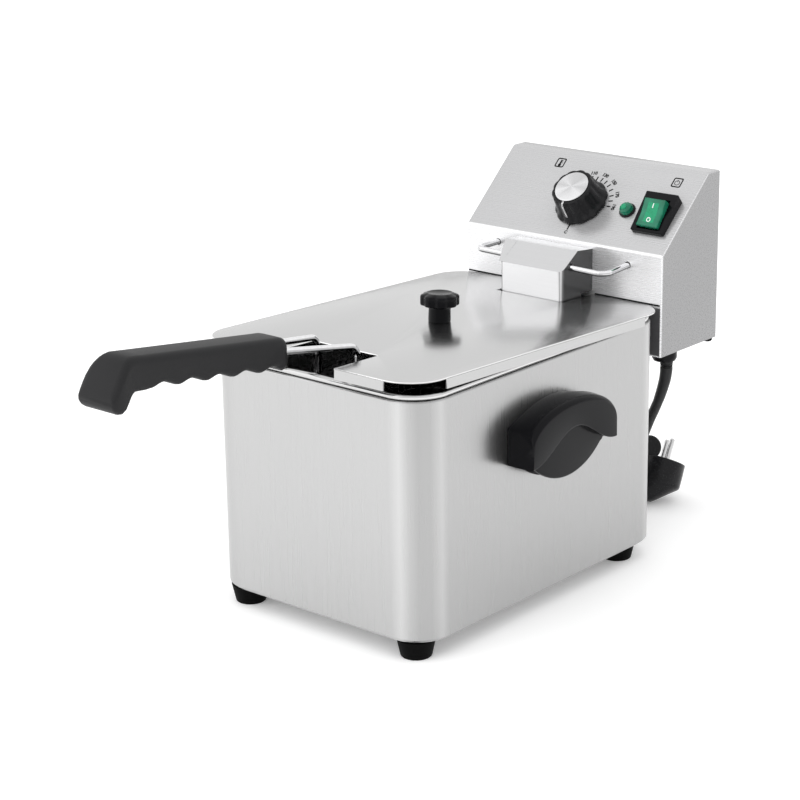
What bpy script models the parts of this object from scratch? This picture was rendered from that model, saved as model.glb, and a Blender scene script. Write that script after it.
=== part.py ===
"""Countertop deep fryer with one tank, as separate pieces. Metres, +Z up, front towards -Y.

Pieces are drawn about the casing's middle. The empty fryer_frame then moves them all back, so that the
footprint of the whole fryer, basket handle included, is centred on the origin.
"""

import math

import bmesh
import bpy
from mathutils import Matrix, Vector

# Driving dimensions
GAP = 0.0003
SHEET = 0.0012
CENTRING = 0.0602
CASING_WIDTH = 0.217
CASING_DEPTH = 0.305
CASING_CORNER = 0.031
CASING_BOTTOM = 0.0165
CASING_TOP = 0.2023
FOOT_HEIGHT = 0.0149
FOOT_X = 0.086
FOOT_FRONT_Y = -0.134
FOOT_REAR_Y = 0.121
PAN_TOP = 0.2072
PAN_BOTTOM = 0.050
PAN_WALL = 0.0080
LID_TILT = math.atan(0.0343)
LID_HALF_WIDTH = 0.1099
LID_FRONT = -0.1590
LID_REAR = 0.1573
LID_CORNER = 0.030
LID_SKIRT = 0.0075
LID_SHEET = 0.0010
HEAD_HALF_WIDTH = 0.101
HEAD_FRONT = 0.1578
HEAD_REAR = 0.2381
HEAD_BOTTOM = 0.165
HEAD_FOLD = 0.2497
HEAD_TOP = 0.3073
HEAD_RIDGE = 0.2219
BRIDGE_FRONT = 0.1155
BRIDGE_HALF_WIDTH = 0.032
RAIL_Y = 0.129
RAIL_Z = 0.2377
RAIL_X = 0.067
RAIL_RADIUS = 0.0025
DIAL_UP = 0.0378
LAMP_X = 0.0465
LAMP_UP = 0.0375
SWITCH_X = 0.0767
ROCKER_HALF_WIDTH = 0.0101
ROCKER_UP = 0.0345
ROCKER_LIFT = 0.002
ROCKER_REST = math.radians(16)
BASKET_HALF_WIDTH = 0.091
BASKET_FRONT = -0.126
BASKET_REAR = 0.088
BASKET_BOTTOM = 0.086
BASKET_TOP = 0.1897
ROD_RADIUS = 0.0025
GRIP_HALF_WIDTH = 0.015
ELEMENT_RADIUS = 0.004
ELEMENT_HEIGHT = 0.068
HANDLE_HALF_LENGTH = 0.0525
HANDLE_REACH = 0.025
APRON_REACH = 0.0175
APRON_RADIUS = 0.0584
APRON_MIDDLE = 0.1710
CORD_RADIUS = 0.0043
GLAND_X = 0.080
CORD_X = 0.0822
GLAND_Y = 0.194
GLAND_END = 0.1508
COIL_X = -0.072
COIL_Y = 0.235
COIL_RADIUS = 0.050
COIL_HALF_SECTION = 0.0095
PLUG_FACE = Vector((0.036, 0.262, 0.0355))

# Directions and frames that several pieces share
RIGHTWARD = Vector((0.753, 0.658, 0.0))
REARWARD = Vector((-0.658, 0.753, 0.0))
PLUG_AXIS = (0.30 * RIGHTWARD + 0.38 * REARWARD + Vector((0.0, 0.0, 0.87))).normalized()
PANEL_ANGLE = math.atan2(HEAD_TOP - HEAD_FOLD, HEAD_RIDGE - HEAD_FRONT)
PANEL = Matrix.Translation((0.0, HEAD_FRONT, HEAD_FOLD)) @ Matrix.Rotation(PANEL_ANGLE, 4, "X")
LID = Matrix.Translation((0.0, -0.0007, 0.21395)) @ Matrix.Rotation(-LID_TILT, 4, "X")
LID_AXLE = Vector((0.0, 0.1766, 0.269))
BASKET_ORIGIN = Vector((0.0, -0.019, BASKET_BOTTOM))
RESET_X = -0.060
RESET_Z = 0.200

# name: (colour, metallic, roughness)
MATERIALS = {
    "steel": ((0.66, 0.66, 0.66), 1.0, 0.28),
    "polished_steel": ((0.78, 0.78, 0.78), 1.0, 0.12),
    "black_plastic": ((0.035, 0.035, 0.037), 0.0, 0.38),
    "black_rubber": ((0.015, 0.015, 0.015), 0.0, 0.65),
    "green_lens": ((0.02, 0.42, 0.20), 0.0, 0.15),
    "brass": ((0.72, 0.56, 0.28), 1.0, 0.25),
    "ceramic": ((0.80, 0.78, 0.72), 0.0, 0.55),
}


def clear_scene():
    for obj in list(bpy.data.objects):
        bpy.data.objects.remove(obj, do_unlink=True)


def material(name, finish):
    """A Principled material of the piece's own, in one of the fryer's finishes."""
    colour, metallic, roughness = MATERIALS[finish]
    made = bpy.data.materials.new(name)
    made.use_nodes = True
    shader = made.node_tree.nodes["Principled BSDF"]
    shader.inputs["Base Color"].default_value = (*colour, 1.0)
    shader.inputs["Metallic"].default_value = metallic
    shader.inputs["Roughness"].default_value = roughness
    made.diffuse_color = (*colour, 1.0)
    return made


def add_piece(name, data, finish, origin=(0.0, 0.0, 0.0)):
    """Puts the data in the scene under the fryer's frame, with its own origin."""
    piece = bpy.data.objects.new(name, data)
    bpy.context.scene.collection.objects.link(piece)
    piece.parent = bpy.data.objects["fryer_frame"]
    piece.location = origin
    data.materials.append(material(name, finish))
    return piece


def face_outwards(shape):
    bmesh.ops.recalc_face_normals(shape, faces=shape.faces)
    if shape.calc_volume(signed=True) < 0:
        bmesh.ops.reverse_faces(shape, faces=shape.faces)


def mesh_piece(name, shape, finish, origin=(0.0, 0.0, 0.0)):
    """Turns a bmesh in the frame's coordinates into a piece whose origin lies at the given point."""
    shape.transform(Matrix.Translation(-Vector(origin)))
    face_outwards(shape)
    data = bpy.data.meshes.new(name)
    shape.to_mesh(data)
    shape.free()
    data.shade_smooth()
    data.set_sharp_from_angle(angle=math.radians(35))
    return add_piece(name, data, finish, origin)


def cut(piece, *shapes, operation="DIFFERENCE"):
    """Cuts the shapes, drawn in the frame's coordinates, from a piece, or joins them to it."""
    helper = bmesh.new()
    for shape in shapes:
        face_outwards(shape)
        passing = bpy.data.meshes.new("passing")
        shape.to_mesh(passing)
        helper.from_mesh(passing)
        shape.free()
        bpy.data.meshes.remove(passing)
    data = bpy.data.meshes.new(piece.name + "_" + operation.lower())
    helper.to_mesh(data)
    helper.free()
    cutter = bpy.data.objects.new(data.name, data)
    bpy.context.scene.collection.objects.link(cutter)
    cutter.parent = bpy.data.objects["fryer_frame"]
    cutter.hide_render = True
    cutter.display_type = "WIRE"
    boolean = piece.modifiers.new(operation.title(), "BOOLEAN")
    boolean.operation = operation
    boolean.object = cutter


def rounded_rectangle(width, depth, corner, middle_y=0.0, steps=6):
    """Points of a rounded rectangle, anticlockwise from the right side."""
    points = []
    for quarter, (side, end) in enumerate(((1, 1), (-1, 1), (-1, -1), (1, -1))):
        for step in range(steps + 1):
            angle = math.radians(90 * (quarter + step / steps))
            x = side * (width / 2 - corner) + corner * math.cos(angle)
            y = middle_y + end * (depth / 2 - corner) + corner * math.sin(angle)
            points.append((x, y))
    return points


def loft(rings, closed=False):
    """Skins a row of rings that have the same number of points, and caps the ends unless it is closed."""
    shape = bmesh.new()
    rows = [[shape.verts.new(point) for point in ring] for ring in rings]
    pairs = list(zip(rows, rows[1:] + rows[:1])) if closed else list(zip(rows, rows[1:]))
    for lower, upper in pairs:
        for index in range(len(lower)):
            following = (index + 1) % len(lower)
            shape.faces.new((lower[index], lower[following], upper[following], upper[index]))
    if not closed:
        shape.faces.new(rows[0])
        shape.faces.new(rows[-1])
    return shape


def stack(levels, width, depth, corner, middle_y=0.0, closed=False):
    """Lofts rounded rectangles, each level being (how far inside the outline, height)."""
    rings = []
    for inset, height in levels:
        radius = max(corner - inset, 0.002)
        outline = rounded_rectangle(width - 2 * inset, depth - 2 * inset, radius, middle_y)
        rings.append([(x, y, height) for x, y in outline])
    return loft(rings, closed)


def box(low, high, place=None):
    """An upright block between two corners, moved by a matrix if there is one."""
    middle = [(a + b) / 2 for a, b in zip(low, high)]
    size = [b - a for a, b in zip(low, high)]
    shape = bmesh.new()
    bmesh.ops.create_cube(shape, size=1.0)
    shape.transform(Matrix.Translation(middle) @ Matrix.Diagonal((*size, 1.0)))
    if place:
        shape.transform(place)
    return shape


def side_prism(outline, low_x, high_x):
    """Extrudes an outline of (y, z) points across the fryer."""
    shape = bmesh.new()
    face = shape.faces.new([shape.verts.new((low_x, y, z)) for y, z in outline])
    sweep = bmesh.ops.extrude_face_region(shape, geom=[face])
    moved = [item for item in sweep["geom"] if isinstance(item, bmesh.types.BMVert)]
    bmesh.ops.translate(shape, verts=moved, vec=(high_x - low_x, 0.0, 0.0))
    return shape


def plan_prism(outline, low_z, high_z):
    """Extrudes an outline of (x, y) points upwards."""
    shape = bmesh.new()
    face = shape.faces.new([shape.verts.new((x, y, low_z)) for x, y in outline])
    sweep = bmesh.ops.extrude_face_region(shape, geom=[face])
    moved = [item for item in sweep["geom"] if isinstance(item, bmesh.types.BMVert)]
    bmesh.ops.translate(shape, verts=moved, vec=(0.0, 0.0, high_z - low_z))
    return shape


def turned(profile, place, steps=24, lobes=0, lobe_depth=0.0):
    """Spins (radius, height) points about Z. Lobes press shallow hollows into the widest rings."""
    shape = bmesh.new()
    widest = max(radius for radius, _ in profile)
    points = [shape.verts.new((radius, 0.0, height)) for radius, height in profile]
    edges = [shape.edges.new(pair) for pair in zip(points, points[1:])]
    bmesh.ops.spin(shape, geom=points + edges, cent=(0, 0, 0), axis=(0, 0, 1), angle=math.tau, steps=steps)
    bmesh.ops.remove_doubles(shape, verts=shape.verts, dist=1e-6)
    for vert in shape.verts if lobes else []:
        radius = math.hypot(vert.co.x, vert.co.y)
        if radius > 0.7 * widest:
            wave = 0.5 - 0.5 * math.cos(lobes * math.atan2(vert.co.y, vert.co.x))
            vert.co.x *= 1 - wave * lobe_depth / radius
            vert.co.y *= 1 - wave * lobe_depth / radius
    shape.transform(place)
    return shape


def rod(start, end, radius, steps=20):
    """A straight round bar between two points."""
    start, end = Vector(start), Vector(end)
    turn = (end - start).to_track_quat("Z", "Y").to_matrix().to_4x4()
    profile = [(0.0, 0.0), (radius, 0.0), (radius, (end - start).length), (0.0, (end - start).length)]
    return turned(profile, Matrix.Translation(start) @ turn, steps)


def rounded_route(corners, bend, steps=6):
    """A path through the corners, with each inner corner rounded to the bend radius."""
    corners = [Vector(corner) for corner in corners]
    path = [corners[0]]
    for before, corner, after in zip(corners, corners[1:], corners[2:]):
        back = (before - corner).normalized()
        ahead = (after - corner).normalized()
        half = back.angle(ahead) / 2
        middle = corner + (back + ahead).normalized() * bend / math.sin(half)
        start = corner + back * bend / math.tan(half) - middle
        end = corner + ahead * bend / math.tan(half) - middle
        turn = start.angle(end)
        for step in range(steps + 1):
            part = turn * step / steps
            path.append(middle + (start * math.sin(turn - part) + end * math.sin(part)) / math.sin(turn))
    return path + [corners[-1]]


def smooth_route(points, count):
    """Reads evenly numbered points from a Catmull-Rom curve through the route's own points."""
    points = [Vector(point) for point in points]
    padded = [2 * points[0] - points[1], *points, 2 * points[-1] - points[-2]]
    path = []
    for index in range(count):
        span, part = divmod(index * (len(points) - 1) / (count - 1), 1.0)
        if span >= len(points) - 1:
            span, part = len(points) - 2, 1.0
        a, b, c, d = padded[int(span) : int(span) + 4]
        cubic = (3 * b - a - 3 * c + d) * part**3 + (2 * a - 5 * b + 4 * c - d) * part**2
        path.append(0.5 * (cubic + (c - a) * part + 2 * b))
    return path


def tube(name, path, radius, finish, resolution=3, origin=(0.0, 0.0, 0.0)):
    """A round bar or cord along a path, with closed ends."""
    data = bpy.data.curves.new(name, "CURVE")
    data.dimensions = "3D"
    data.bevel_depth = radius
    data.bevel_resolution = resolution
    data.use_fill_caps = True
    spline = data.splines.new("POLY")
    spline.points.add(len(path) - 1)
    for point, place in zip(spline.points, path):
        point.co = (*(Vector(place) - Vector(origin)), 1.0)
    return add_piece(name, data, finish, origin)


def at(x, y, z):
    return Matrix.Translation((x, y, z))


def on_panel(x, up, lift=0.0):
    """The panel's frame at a point of it: X across, Y up the slope, Z straight out."""
    return PANEL @ Matrix.Translation((x, up, lift))


def make_casing():
    levels = [
        (0.0060, CASING_BOTTOM),
        (0.0020, CASING_BOTTOM),
        (0.0006, CASING_BOTTOM + 0.0006),
        (0.0, CASING_BOTTOM + 0.0020),
        (0.0, CASING_TOP - 0.0015),
        (0.0005, CASING_TOP - 0.0004),
        (0.0015, CASING_TOP),
        (0.0060, CASING_TOP),
        (0.0060, CASING_TOP - 0.0010),
        (0.0012, CASING_TOP - 0.0015),
        (0.0012, CASING_BOTTOM + 0.0016),
        (0.0060, CASING_BOTTOM + 0.0010),
    ]
    shape = stack(levels, CASING_WIDTH, CASING_DEPTH, CASING_CORNER, closed=True)
    casing = mesh_piece("outer_casing", shape, "steel")
    holes = [rod((side * 0.10, y, 0.150), (side * 0.112, y, 0.150), 0.0023, 12)
             for side in (-1, 1) for y in (-0.025, 0.025)]
    cut(casing, *holes)


def make_base():
    levels = [(0.003, 0.0152), (0.003, 0.0162)]
    base = mesh_piece("base_plate", stack(levels, CASING_WIDTH, CASING_DEPTH, CASING_CORNER), "steel")
    feet = [(side * FOOT_X, y) for y in (FOOT_FRONT_Y, FOOT_REAR_Y) for side in (-1, 1)]
    cut(base, *[rod((x, y, 0.014), (x, y, 0.018), 0.0024, 12) for x, y in feet])
    labels = ("front_left", "front_right", "rear_left", "rear_right")
    foot = [
        (0.0024, 0.0060), (0.0052, 0.0060), (0.0052, 0.0004), (0.0058, 0.0), (0.0112, 0.0),
        (0.0120, 0.0008), (0.0148, 0.0135), (0.0150, FOOT_HEIGHT - 0.0006), (0.0144, FOOT_HEIGHT),
        (0.0024, FOOT_HEIGHT), (0.0024, 0.0060),
    ]
    screw = [(0.0, 0.0022), (0.0036, 0.0022), (0.0042, 0.0032), (0.0042, 0.0057), (0.0020, 0.0057),
             (0.0020, 0.0215), (0.0, 0.0215)]
    for label, (x, y) in zip(labels, feet):
        mesh_piece("foot_" + label, turned(foot, at(x, y, 0.0)), "black_rubber")
        mesh_piece("foot_screw_" + label, turned(screw, at(x, y, 0.0), 12), "steel")


def handle_section(y):
    """One (x, z) section of the right handle: an apron below, and the brow that stands out over it."""
    along = y / HANDLE_HALF_LENGTH
    inner = CASING_WIDTH / 2 + GAP
    outer = CASING_WIDTH / 2 + HANDLE_REACH
    apron = CASING_WIDTH / 2 + APRON_REACH
    ledge = 0.161 + 0.014 * math.cos(math.pi / 2 * along)
    brow = 0.152 + 0.0235 * math.sqrt(max(0.0, 1 - along**2))
    lip = 0.1432 + 0.0107 * math.cos(math.pi * along)
    foot = min(APRON_MIDDLE - math.sqrt(APRON_RADIUS**2 - y**2), lip - 0.0008)
    return [
        (inner, foot), (apron - 0.001, foot), (apron, foot + 0.0004), (apron, lip),
        (outer - 0.001, lip), (outer, lip + 0.001), (outer, brow - 0.005), (outer - 0.0015, brow - 0.0015),
        (outer - 0.005, brow), ((inner + outer) / 2, (brow + ledge) / 2 + 0.0015), (inner, ledge),
    ]


def make_side_handles():
    stations = [HANDLE_HALF_LENGTH * math.sin(math.pi / 2 * step / 9) for step in range(-9, 10)]
    for side, label in ((1, "right"), (-1, "left")):
        rings = [[(side * x, y, z) for x, z in handle_section(y)] for y in stations]
        handle = mesh_piece("side_handle_" + label, loft(rings), "black_plastic")
        pocket = []
        low = CASING_WIDTH / 2 + 0.0030
        high = CASING_WIDTH / 2 + APRON_REACH - 0.0035
        for y in (-0.040, -0.034, -0.020, 0.0, 0.020, 0.034, 0.040):
            roof = 0.130 + 0.012 * math.sqrt(1 - (y / 0.044) ** 2)
            section = ((low, 0.10), (high, 0.10), (high, roof - 0.002), (high - 0.002, roof), (low, roof))
            pocket.append([(side * x, y, z) for x, z in section])
        cut(handle, loft(pocket))
        bores = []
        for number, y in enumerate((-0.025, 0.025), 1):
            bores.append(rod((side * 0.106, y, 0.150), (side * 0.1175, y, 0.150), 0.0023, 12))
            bolt = rod((side * 0.1045, y, 0.150), (side * 0.107, y, 0.150), 0.004, 12)
            bolt_piece = mesh_piece(f"handle_bolt_{label}_{number}", bolt, "steel")
            shank = rod((side * 0.1065, y, 0.150), (side * 0.1165, y, 0.150), 0.0019, 12)
            cut(bolt_piece, shank, operation="UNION")
        cut(handle, *bores)


def make_bracket():
    outline = [
        (0.1528, 0.196), (0.1528, 0.168), (0.1574, 0.168), (0.1574, 0.182),
        (0.1563, 0.182), (0.1563, 0.1692), (0.1541, 0.1692), (0.1541, 0.196),
    ]
    mesh_piece("head_bracket", side_prism(outline, -0.035, 0.035), "steel")
    tongue = [(0.1546, 0.171), (0.1558, 0.171), (0.1558, 0.1955), (0.1575, 0.1955), (0.1575, 0.197),
              (0.1546, 0.197)]
    mesh_piece("head_hanger", side_prism(tongue, -0.032, 0.032), "steel")


def make_pan():
    wall = PAN_WALL + 0.0008
    levels = [
        (0.030, PAN_BOTTOM), (0.0150, PAN_BOTTOM), (0.0100, PAN_BOTTOM + 0.0020),
        (PAN_WALL, PAN_BOTTOM + 0.0070),
        (PAN_WALL, PAN_TOP - 0.0046), (0.0018, PAN_TOP - 0.0046), (0.0005, PAN_TOP - 0.0038),
        (0.0, PAN_TOP - 0.0023),
        (0.0008, PAN_TOP - 0.0008), (0.0028, PAN_TOP), (0.0060, PAN_TOP - 0.0004), (wall, PAN_TOP - 0.0030),
        (wall, PAN_BOTTOM + 0.0075), (0.0106, PAN_BOTTOM + 0.0028), (0.0154, PAN_BOTTOM + 0.0008),
        (0.030, PAN_BOTTOM + 0.0008),
    ]
    shape = stack(levels, 0.2164, 0.3044, 0.0320)
    mesh_piece("oil_pan", shape, "polished_steel", (0.0, 0.0, PAN_BOTTOM))


def lid_outline():
    """The lid's plan with the handle notch in front and the open notch behind."""
    right, front, rear = LID_HALF_WIDTH, LID_FRONT, LID_REAR
    corner = rounded_rectangle(2 * right, rear - front, LID_CORNER, (rear + front) / 2)
    rear_right, rear_left, front_left, front_right = (corner[7 * k : 7 * k + 7] for k in range(4))
    front_notch = [(-0.033, front), (-0.033, -0.1127), (-0.030, -0.1097), (0.030, -0.1097),
                   (0.033, -0.1127), (0.033, front)]
    rear_notch = [(0.034, rear), (0.034, 0.1147), (-0.034, 0.1147), (-0.034, rear)]
    return rear_right + rear_notch + rear_left + front_left + front_notch + front_right


def make_lid():
    panel = plan_prism(lid_outline(), -LID_SHEET, 0.0)
    panel.transform(LID)
    lid = mesh_piece("lid_panel", panel, "steel", LID_AXLE)
    low, high = -LID_SHEET - LID_SKIRT, -0.0002
    inner = LID_HALF_WIDTH - LID_SHEET
    skirts = [
        box((0.034, LID_FRONT, low), (0.0805, LID_FRONT + LID_SHEET, high), LID),
        box((-0.0805, LID_FRONT, low), (-0.034, LID_FRONT + LID_SHEET, high), LID),
        box((inner, -0.123, low), (LID_HALF_WIDTH, 0.123, high), LID),
        box((-LID_HALF_WIDTH, -0.123, low), (-inner, 0.123, high), LID),
    ]
    cut(lid, *skirts, operation="UNION")
    knob_bore = [(0.0, -0.01), (0.0024, -0.01), (0.0024, 0.01), (0.0, 0.01)]
    cut(lid, turned(knob_bore, LID, 12))
    knob = [
        (0.0, 0.0110), (0.0024, 0.0110), (0.0024, GAP), (0.0086, GAP), (0.0089, 0.0010), (0.0089, 0.0110),
        (0.0110, 0.0132), (0.0150, 0.0138), (0.0154, 0.0145), (0.0154, 0.0205), (0.0140, 0.0220),
        (0.0103, 0.0232),
        (0.0080, 0.0228), (0.0, 0.0224),
    ]
    mesh_piece("lid_knob", turned(knob, LID, 40, 8, 0.0009), "black_plastic", LID_AXLE)
    under = -LID_SHEET - GAP
    screw = [(0.0, under - 0.0024), (0.0030, under - 0.0022), (0.0042, under - 0.0010), (0.0042, under),
             (0.0020, under), (0.0020, 0.0100), (0.0, 0.0100)]
    mesh_piece("lid_knob_screw", turned(screw, LID, 12), "steel", LID_AXLE)


def make_basket():
    levels = [
        (0.020, BASKET_BOTTOM), (0.006, BASKET_BOTTOM), (0.0, BASKET_BOTTOM + 0.006), (0.0, BASKET_TOP),
        (SHEET, BASKET_TOP), (SHEET, BASKET_BOTTOM + 0.0065), (0.0066, BASKET_BOTTOM + SHEET),
        (0.020, BASKET_BOTTOM + SHEET),
    ]
    width, depth = 2 * BASKET_HALF_WIDTH, BASKET_REAR - BASKET_FRONT
    middle = (BASKET_REAR + BASKET_FRONT) / 2
    shape = stack(levels, width, depth, 0.024, middle)
    mesh_piece("basket_body", shape, "polished_steel", BASKET_ORIGIN)
    wire = [(0.0006 + 0.002 * math.cos(math.tau * k / 8), BASKET_TOP + 0.0023 + 0.002 * math.sin(math.tau * k / 8))
            for k in range(8)]
    shape = stack(wire, width, depth, 0.024, middle, closed=True)
    mesh_piece("basket_rim", shape, "polished_steel", BASKET_ORIGIN)
    plate = box((-0.028, -0.1245, 0.145), (0.028, -0.1228, 0.185))
    mesh_piece("basket_bracket", plate, "polished_steel", BASKET_ORIGIN)
    wall = BASKET_REAR + GAP
    hook = [(wall, 0.145), (wall, 0.182), (wall + 0.0092, 0.182), (wall + 0.0092, 0.166),
            (wall + 0.0077, 0.166),
            (wall + 0.0077, 0.1805), (wall + 0.0015, 0.1805), (wall + 0.0015, 0.145)]
    mesh_piece("basket_hook", side_prism(hook, -0.018, 0.018), "polished_steel", BASKET_ORIGIN)
    for side, label in ((1, "right"), (-1, "left")):
        corners = [(side * 0.0108, -0.200, 0.2368), (side * 0.0203, -0.120, 0.2246),
                   (side * 0.0203, -0.120, 0.120)]
        tube("handle_rod_" + label, rounded_route(corners, 0.008), ROD_RADIUS, "polished_steel", origin=BASKET_ORIGIN)


def grip_stations():
    """(y, underside, top, half width) along the grip, from the rods to the tip."""
    stations = [(-0.1862, 0.2265, 0.2395, 0.0120), (-0.1880, 0.2240, 0.2435, 0.0140),
                (-0.1924, 0.2215, 0.2458, 0.0150)]
    for step in range(18):
        y = -0.2017 - 0.0066 * step
        along = -0.2149 - y
        bump = 0.0017 * math.cos(math.tau * along / 0.0264)
        stations.append((y, 0.2267 + 0.1365 * along - bump, 0.2461 + 0.134 * (-0.1936 - y), GRIP_HALF_WIDTH))
    stations += [
        (-0.3230, 0.2395, 0.2634, 0.0150), (-0.3347, 0.2406, 0.2648, 0.0152),
        (-0.3400, 0.2380, 0.2622, 0.0165),
        (-0.3440, 0.2345, 0.2595, 0.0178), (-0.3486, 0.2298, 0.2555, 0.0188),
        (-0.3540, 0.2300, 0.2490, 0.0190),
        (-0.3575, 0.2325, 0.2430, 0.0182), (-0.3586, 0.2360, 0.2395, 0.0165),
    ]
    return stations


def make_grip():
    rings = []
    for y, low, high, half in grip_stations():
        top, foot = min(0.006, (high - low) * 0.45), min(0.003, (high - low) * 0.3)
        outline = []
        for step in range(4):
            angle = math.radians(30 * step)
            outline.append((half - top + top * math.cos(angle), high - top + top * math.sin(angle)))
        for step in range(4):
            angle = math.radians(90 + 30 * step)
            outline.append((-half + top + top * math.cos(angle), high - top + top * math.sin(angle)))
        outline += [(-half, low + foot), (-half + foot, low), (half - foot, low), (half, low + foot)]
        rings.append([(x, y, z) for x, z in outline])
    grip = mesh_piece("handle_grip", loft(rings), "black_plastic", BASKET_ORIGIN)
    bores = [rod((side * 0.0124, -0.184, 0.23436),
                 (side * 0.01065, -0.202, 0.23711), 0.0029, 12) for side in (-1, 1)]
    cut(grip, *bores)


def make_head():
    outline = [(HEAD_FRONT, HEAD_BOTTOM), (HEAD_FRONT, HEAD_FOLD), (HEAD_RIDGE, HEAD_TOP),
               (HEAD_REAR, HEAD_TOP),
               (HEAD_REAR, HEAD_BOTTOM)]
    shape = side_prism(outline, -HEAD_HALF_WIDTH, HEAD_HALF_WIDTH)
    kept = [edge for edge in shape.edges if min(vert.co.z for vert in edge.verts) > HEAD_BOTTOM + 0.001]
    uprights = [edge for edge in shape.edges if abs(edge.verts[0].co.z - edge.verts[1].co.z) > 0.05
                and max(vert.co.y for vert in edge.verts) < HEAD_FRONT + 0.001]
    bmesh.ops.bevel(shape, geom=list(set(kept + uprights)), offset=0.0022, segments=2, profile=0.5, affect="EDGES")
    head = mesh_piece("head_housing", shape, "steel")
    slope = math.tan(PANEL_ANGLE)
    thick = SHEET / math.cos(PANEL_ANGLE)
    front, rear = HEAD_FRONT + SHEET, HEAD_REAR + 0.01
    fold = HEAD_FOLD - thick + slope * SHEET
    ridge = front + (HEAD_TOP - SHEET - fold) / slope
    inside = [(front, 0.15), (front, fold), (ridge, HEAD_TOP - SHEET), (rear, HEAD_TOP - SHEET),
              (rear, 0.15)]
    cut(head, side_prism(inside, -HEAD_HALF_WIDTH + SHEET, HEAD_HALF_WIDTH - SHEET))
    openings = [
        box((-0.024, HEAD_FRONT - 0.003, 0.216), (0.024, HEAD_FRONT + 0.004, 0.236)),
        box((SWITCH_X - 0.0132, 0.0203, -0.006), (SWITCH_X + 0.0132, 0.0520, 0.006), PANEL),
        turned([(0, -0.006), (0.0058, -0.006), (0.0058, 0.006), (0, 0.006)], on_panel(0.0, DIAL_UP), 16),
        turned([(0, -0.006), (0.0053, -0.006), (0.0053, 0.006), (0, 0.006)], on_panel(LAMP_X, LAMP_UP), 16),
    ]
    openings += [rod((side * RAIL_X, HEAD_FRONT - 0.003, RAIL_Z),
                     (side * RAIL_X, HEAD_FRONT + 0.004, RAIL_Z), 0.0029, 16)
                 for side in (-1, 1)]
    cut(head, *openings)


def make_head_covers():
    side = HEAD_HALF_WIDTH - SHEET - GAP
    cover = box((-side, 0.2364, HEAD_BOTTOM + GAP), (side, 0.2376, HEAD_TOP - SHEET - GAP))
    cover_piece = mesh_piece("head_back_cover", cover, "steel")
    slots = [box((x - 0.018, 0.23, z), (x + 0.018, 0.24, z + 0.003)) for x in (0.02, 0.065) for z in
             (0.262, 0.270, 0.278, 0.286)]
    slots.append(rod((RESET_X, 0.23, RESET_Z), (RESET_X, 0.24, RESET_Z), 0.0034, 16))
    cut(cover_piece, *slots)
    plate = box((-side, HEAD_FRONT + SHEET + GAP, HEAD_BOTTOM + GAP),
                (side, 0.2361, HEAD_BOTTOM + GAP + SHEET))
    plate_piece = mesh_piece("head_bottom_plate", plate, "steel")
    cut(plate_piece, rod((GLAND_X, GLAND_Y, 0.16), (GLAND_X, GLAND_Y, 0.17), 0.0068, 20))
    bumper = [(0.0, -0.0033), (0.0030, -0.0033), (0.0040, -0.0022), (0.0040, -GAP), (0.0, -GAP)]
    for side_sign, label in ((1, "right"), (-1, "left")):
        mesh_piece("head_bumper_" + label, turned(bumper, at(side_sign * 0.096, 0.2335, HEAD_BOTTOM), 16), "black_rubber")


def make_bridge():
    top = [(0.137, 0.2482), (HEAD_FRONT - GAP, 0.2462)]
    outline = [(BRIDGE_FRONT, 0.100), (BRIDGE_FRONT, 0.2343), *top, (HEAD_FRONT - GAP, 0.211),
               (0.1424, 0.211), (0.1424, 0.100)]
    inner = [(BRIDGE_FRONT + SHEET, 0.09), (BRIDGE_FRONT + SHEET, 0.2336), (0.1373, 0.2470),
             (0.165, 0.2444), (0.165, 0.205),
             (0.1412, 0.205), (0.1412, 0.09)]
    shapes = []
    for points, half, radius in ((outline, BRIDGE_HALF_WIDTH, 0.004),
                                 (inner, BRIDGE_HALF_WIDTH - SHEET, 0.0028)):
        shape = side_prism(points, -half, half)
        front = min(vert.co.y for vert in shape.verts)
        uprights = [edge for edge in shape.edges if max(vert.co.y for vert in edge.verts) < front + 1e-5
                    and abs(edge.verts[0].co.z - edge.verts[1].co.z) > 0.05]
        bmesh.ops.bevel(shape, geom=uprights, offset=radius, segments=3, profile=0.5, affect="EDGES")
        shapes.append(shape)
    bridge = mesh_piece("bridge_cover", shapes[0], "steel")
    cut(bridge, shapes[1])
    cut(bridge, rod((-0.05, RAIL_Y, RAIL_Z), (0.05, RAIL_Y, RAIL_Z), 0.0029, 16))
    knee_y, knee_z = 0.137, 0.2482
    wing = bmesh.new()
    corners = [(-0.0330, BRIDGE_FRONT, 0.2343), (-0.0425, knee_y, knee_z), (-0.0315, knee_y, knee_z),
               (-0.0315, BRIDGE_FRONT, 0.2343)]
    upper = [wing.verts.new(corner) for corner in corners]
    lower = [wing.verts.new((x, y, z - 0.0009)) for x, y, z in corners]
    wing.faces.new(upper)
    wing.faces.new(lower)
    for index in range(len(corners)):
        following = (index + 1) % len(corners)
        wing.faces.new((upper[index], upper[following], lower[following], lower[index]))
    face_outwards(wing)
    cut(bridge, wing, operation="UNION")
    corners = [(RAIL_X, 0.166, RAIL_Z), (RAIL_X, RAIL_Y, RAIL_Z), (-RAIL_X, RAIL_Y, RAIL_Z),
               (-RAIL_X, 0.166, RAIL_Z)]
    tube("drain_rail", rounded_route(corners, 0.009), RAIL_RADIUS, "polished_steel")


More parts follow.
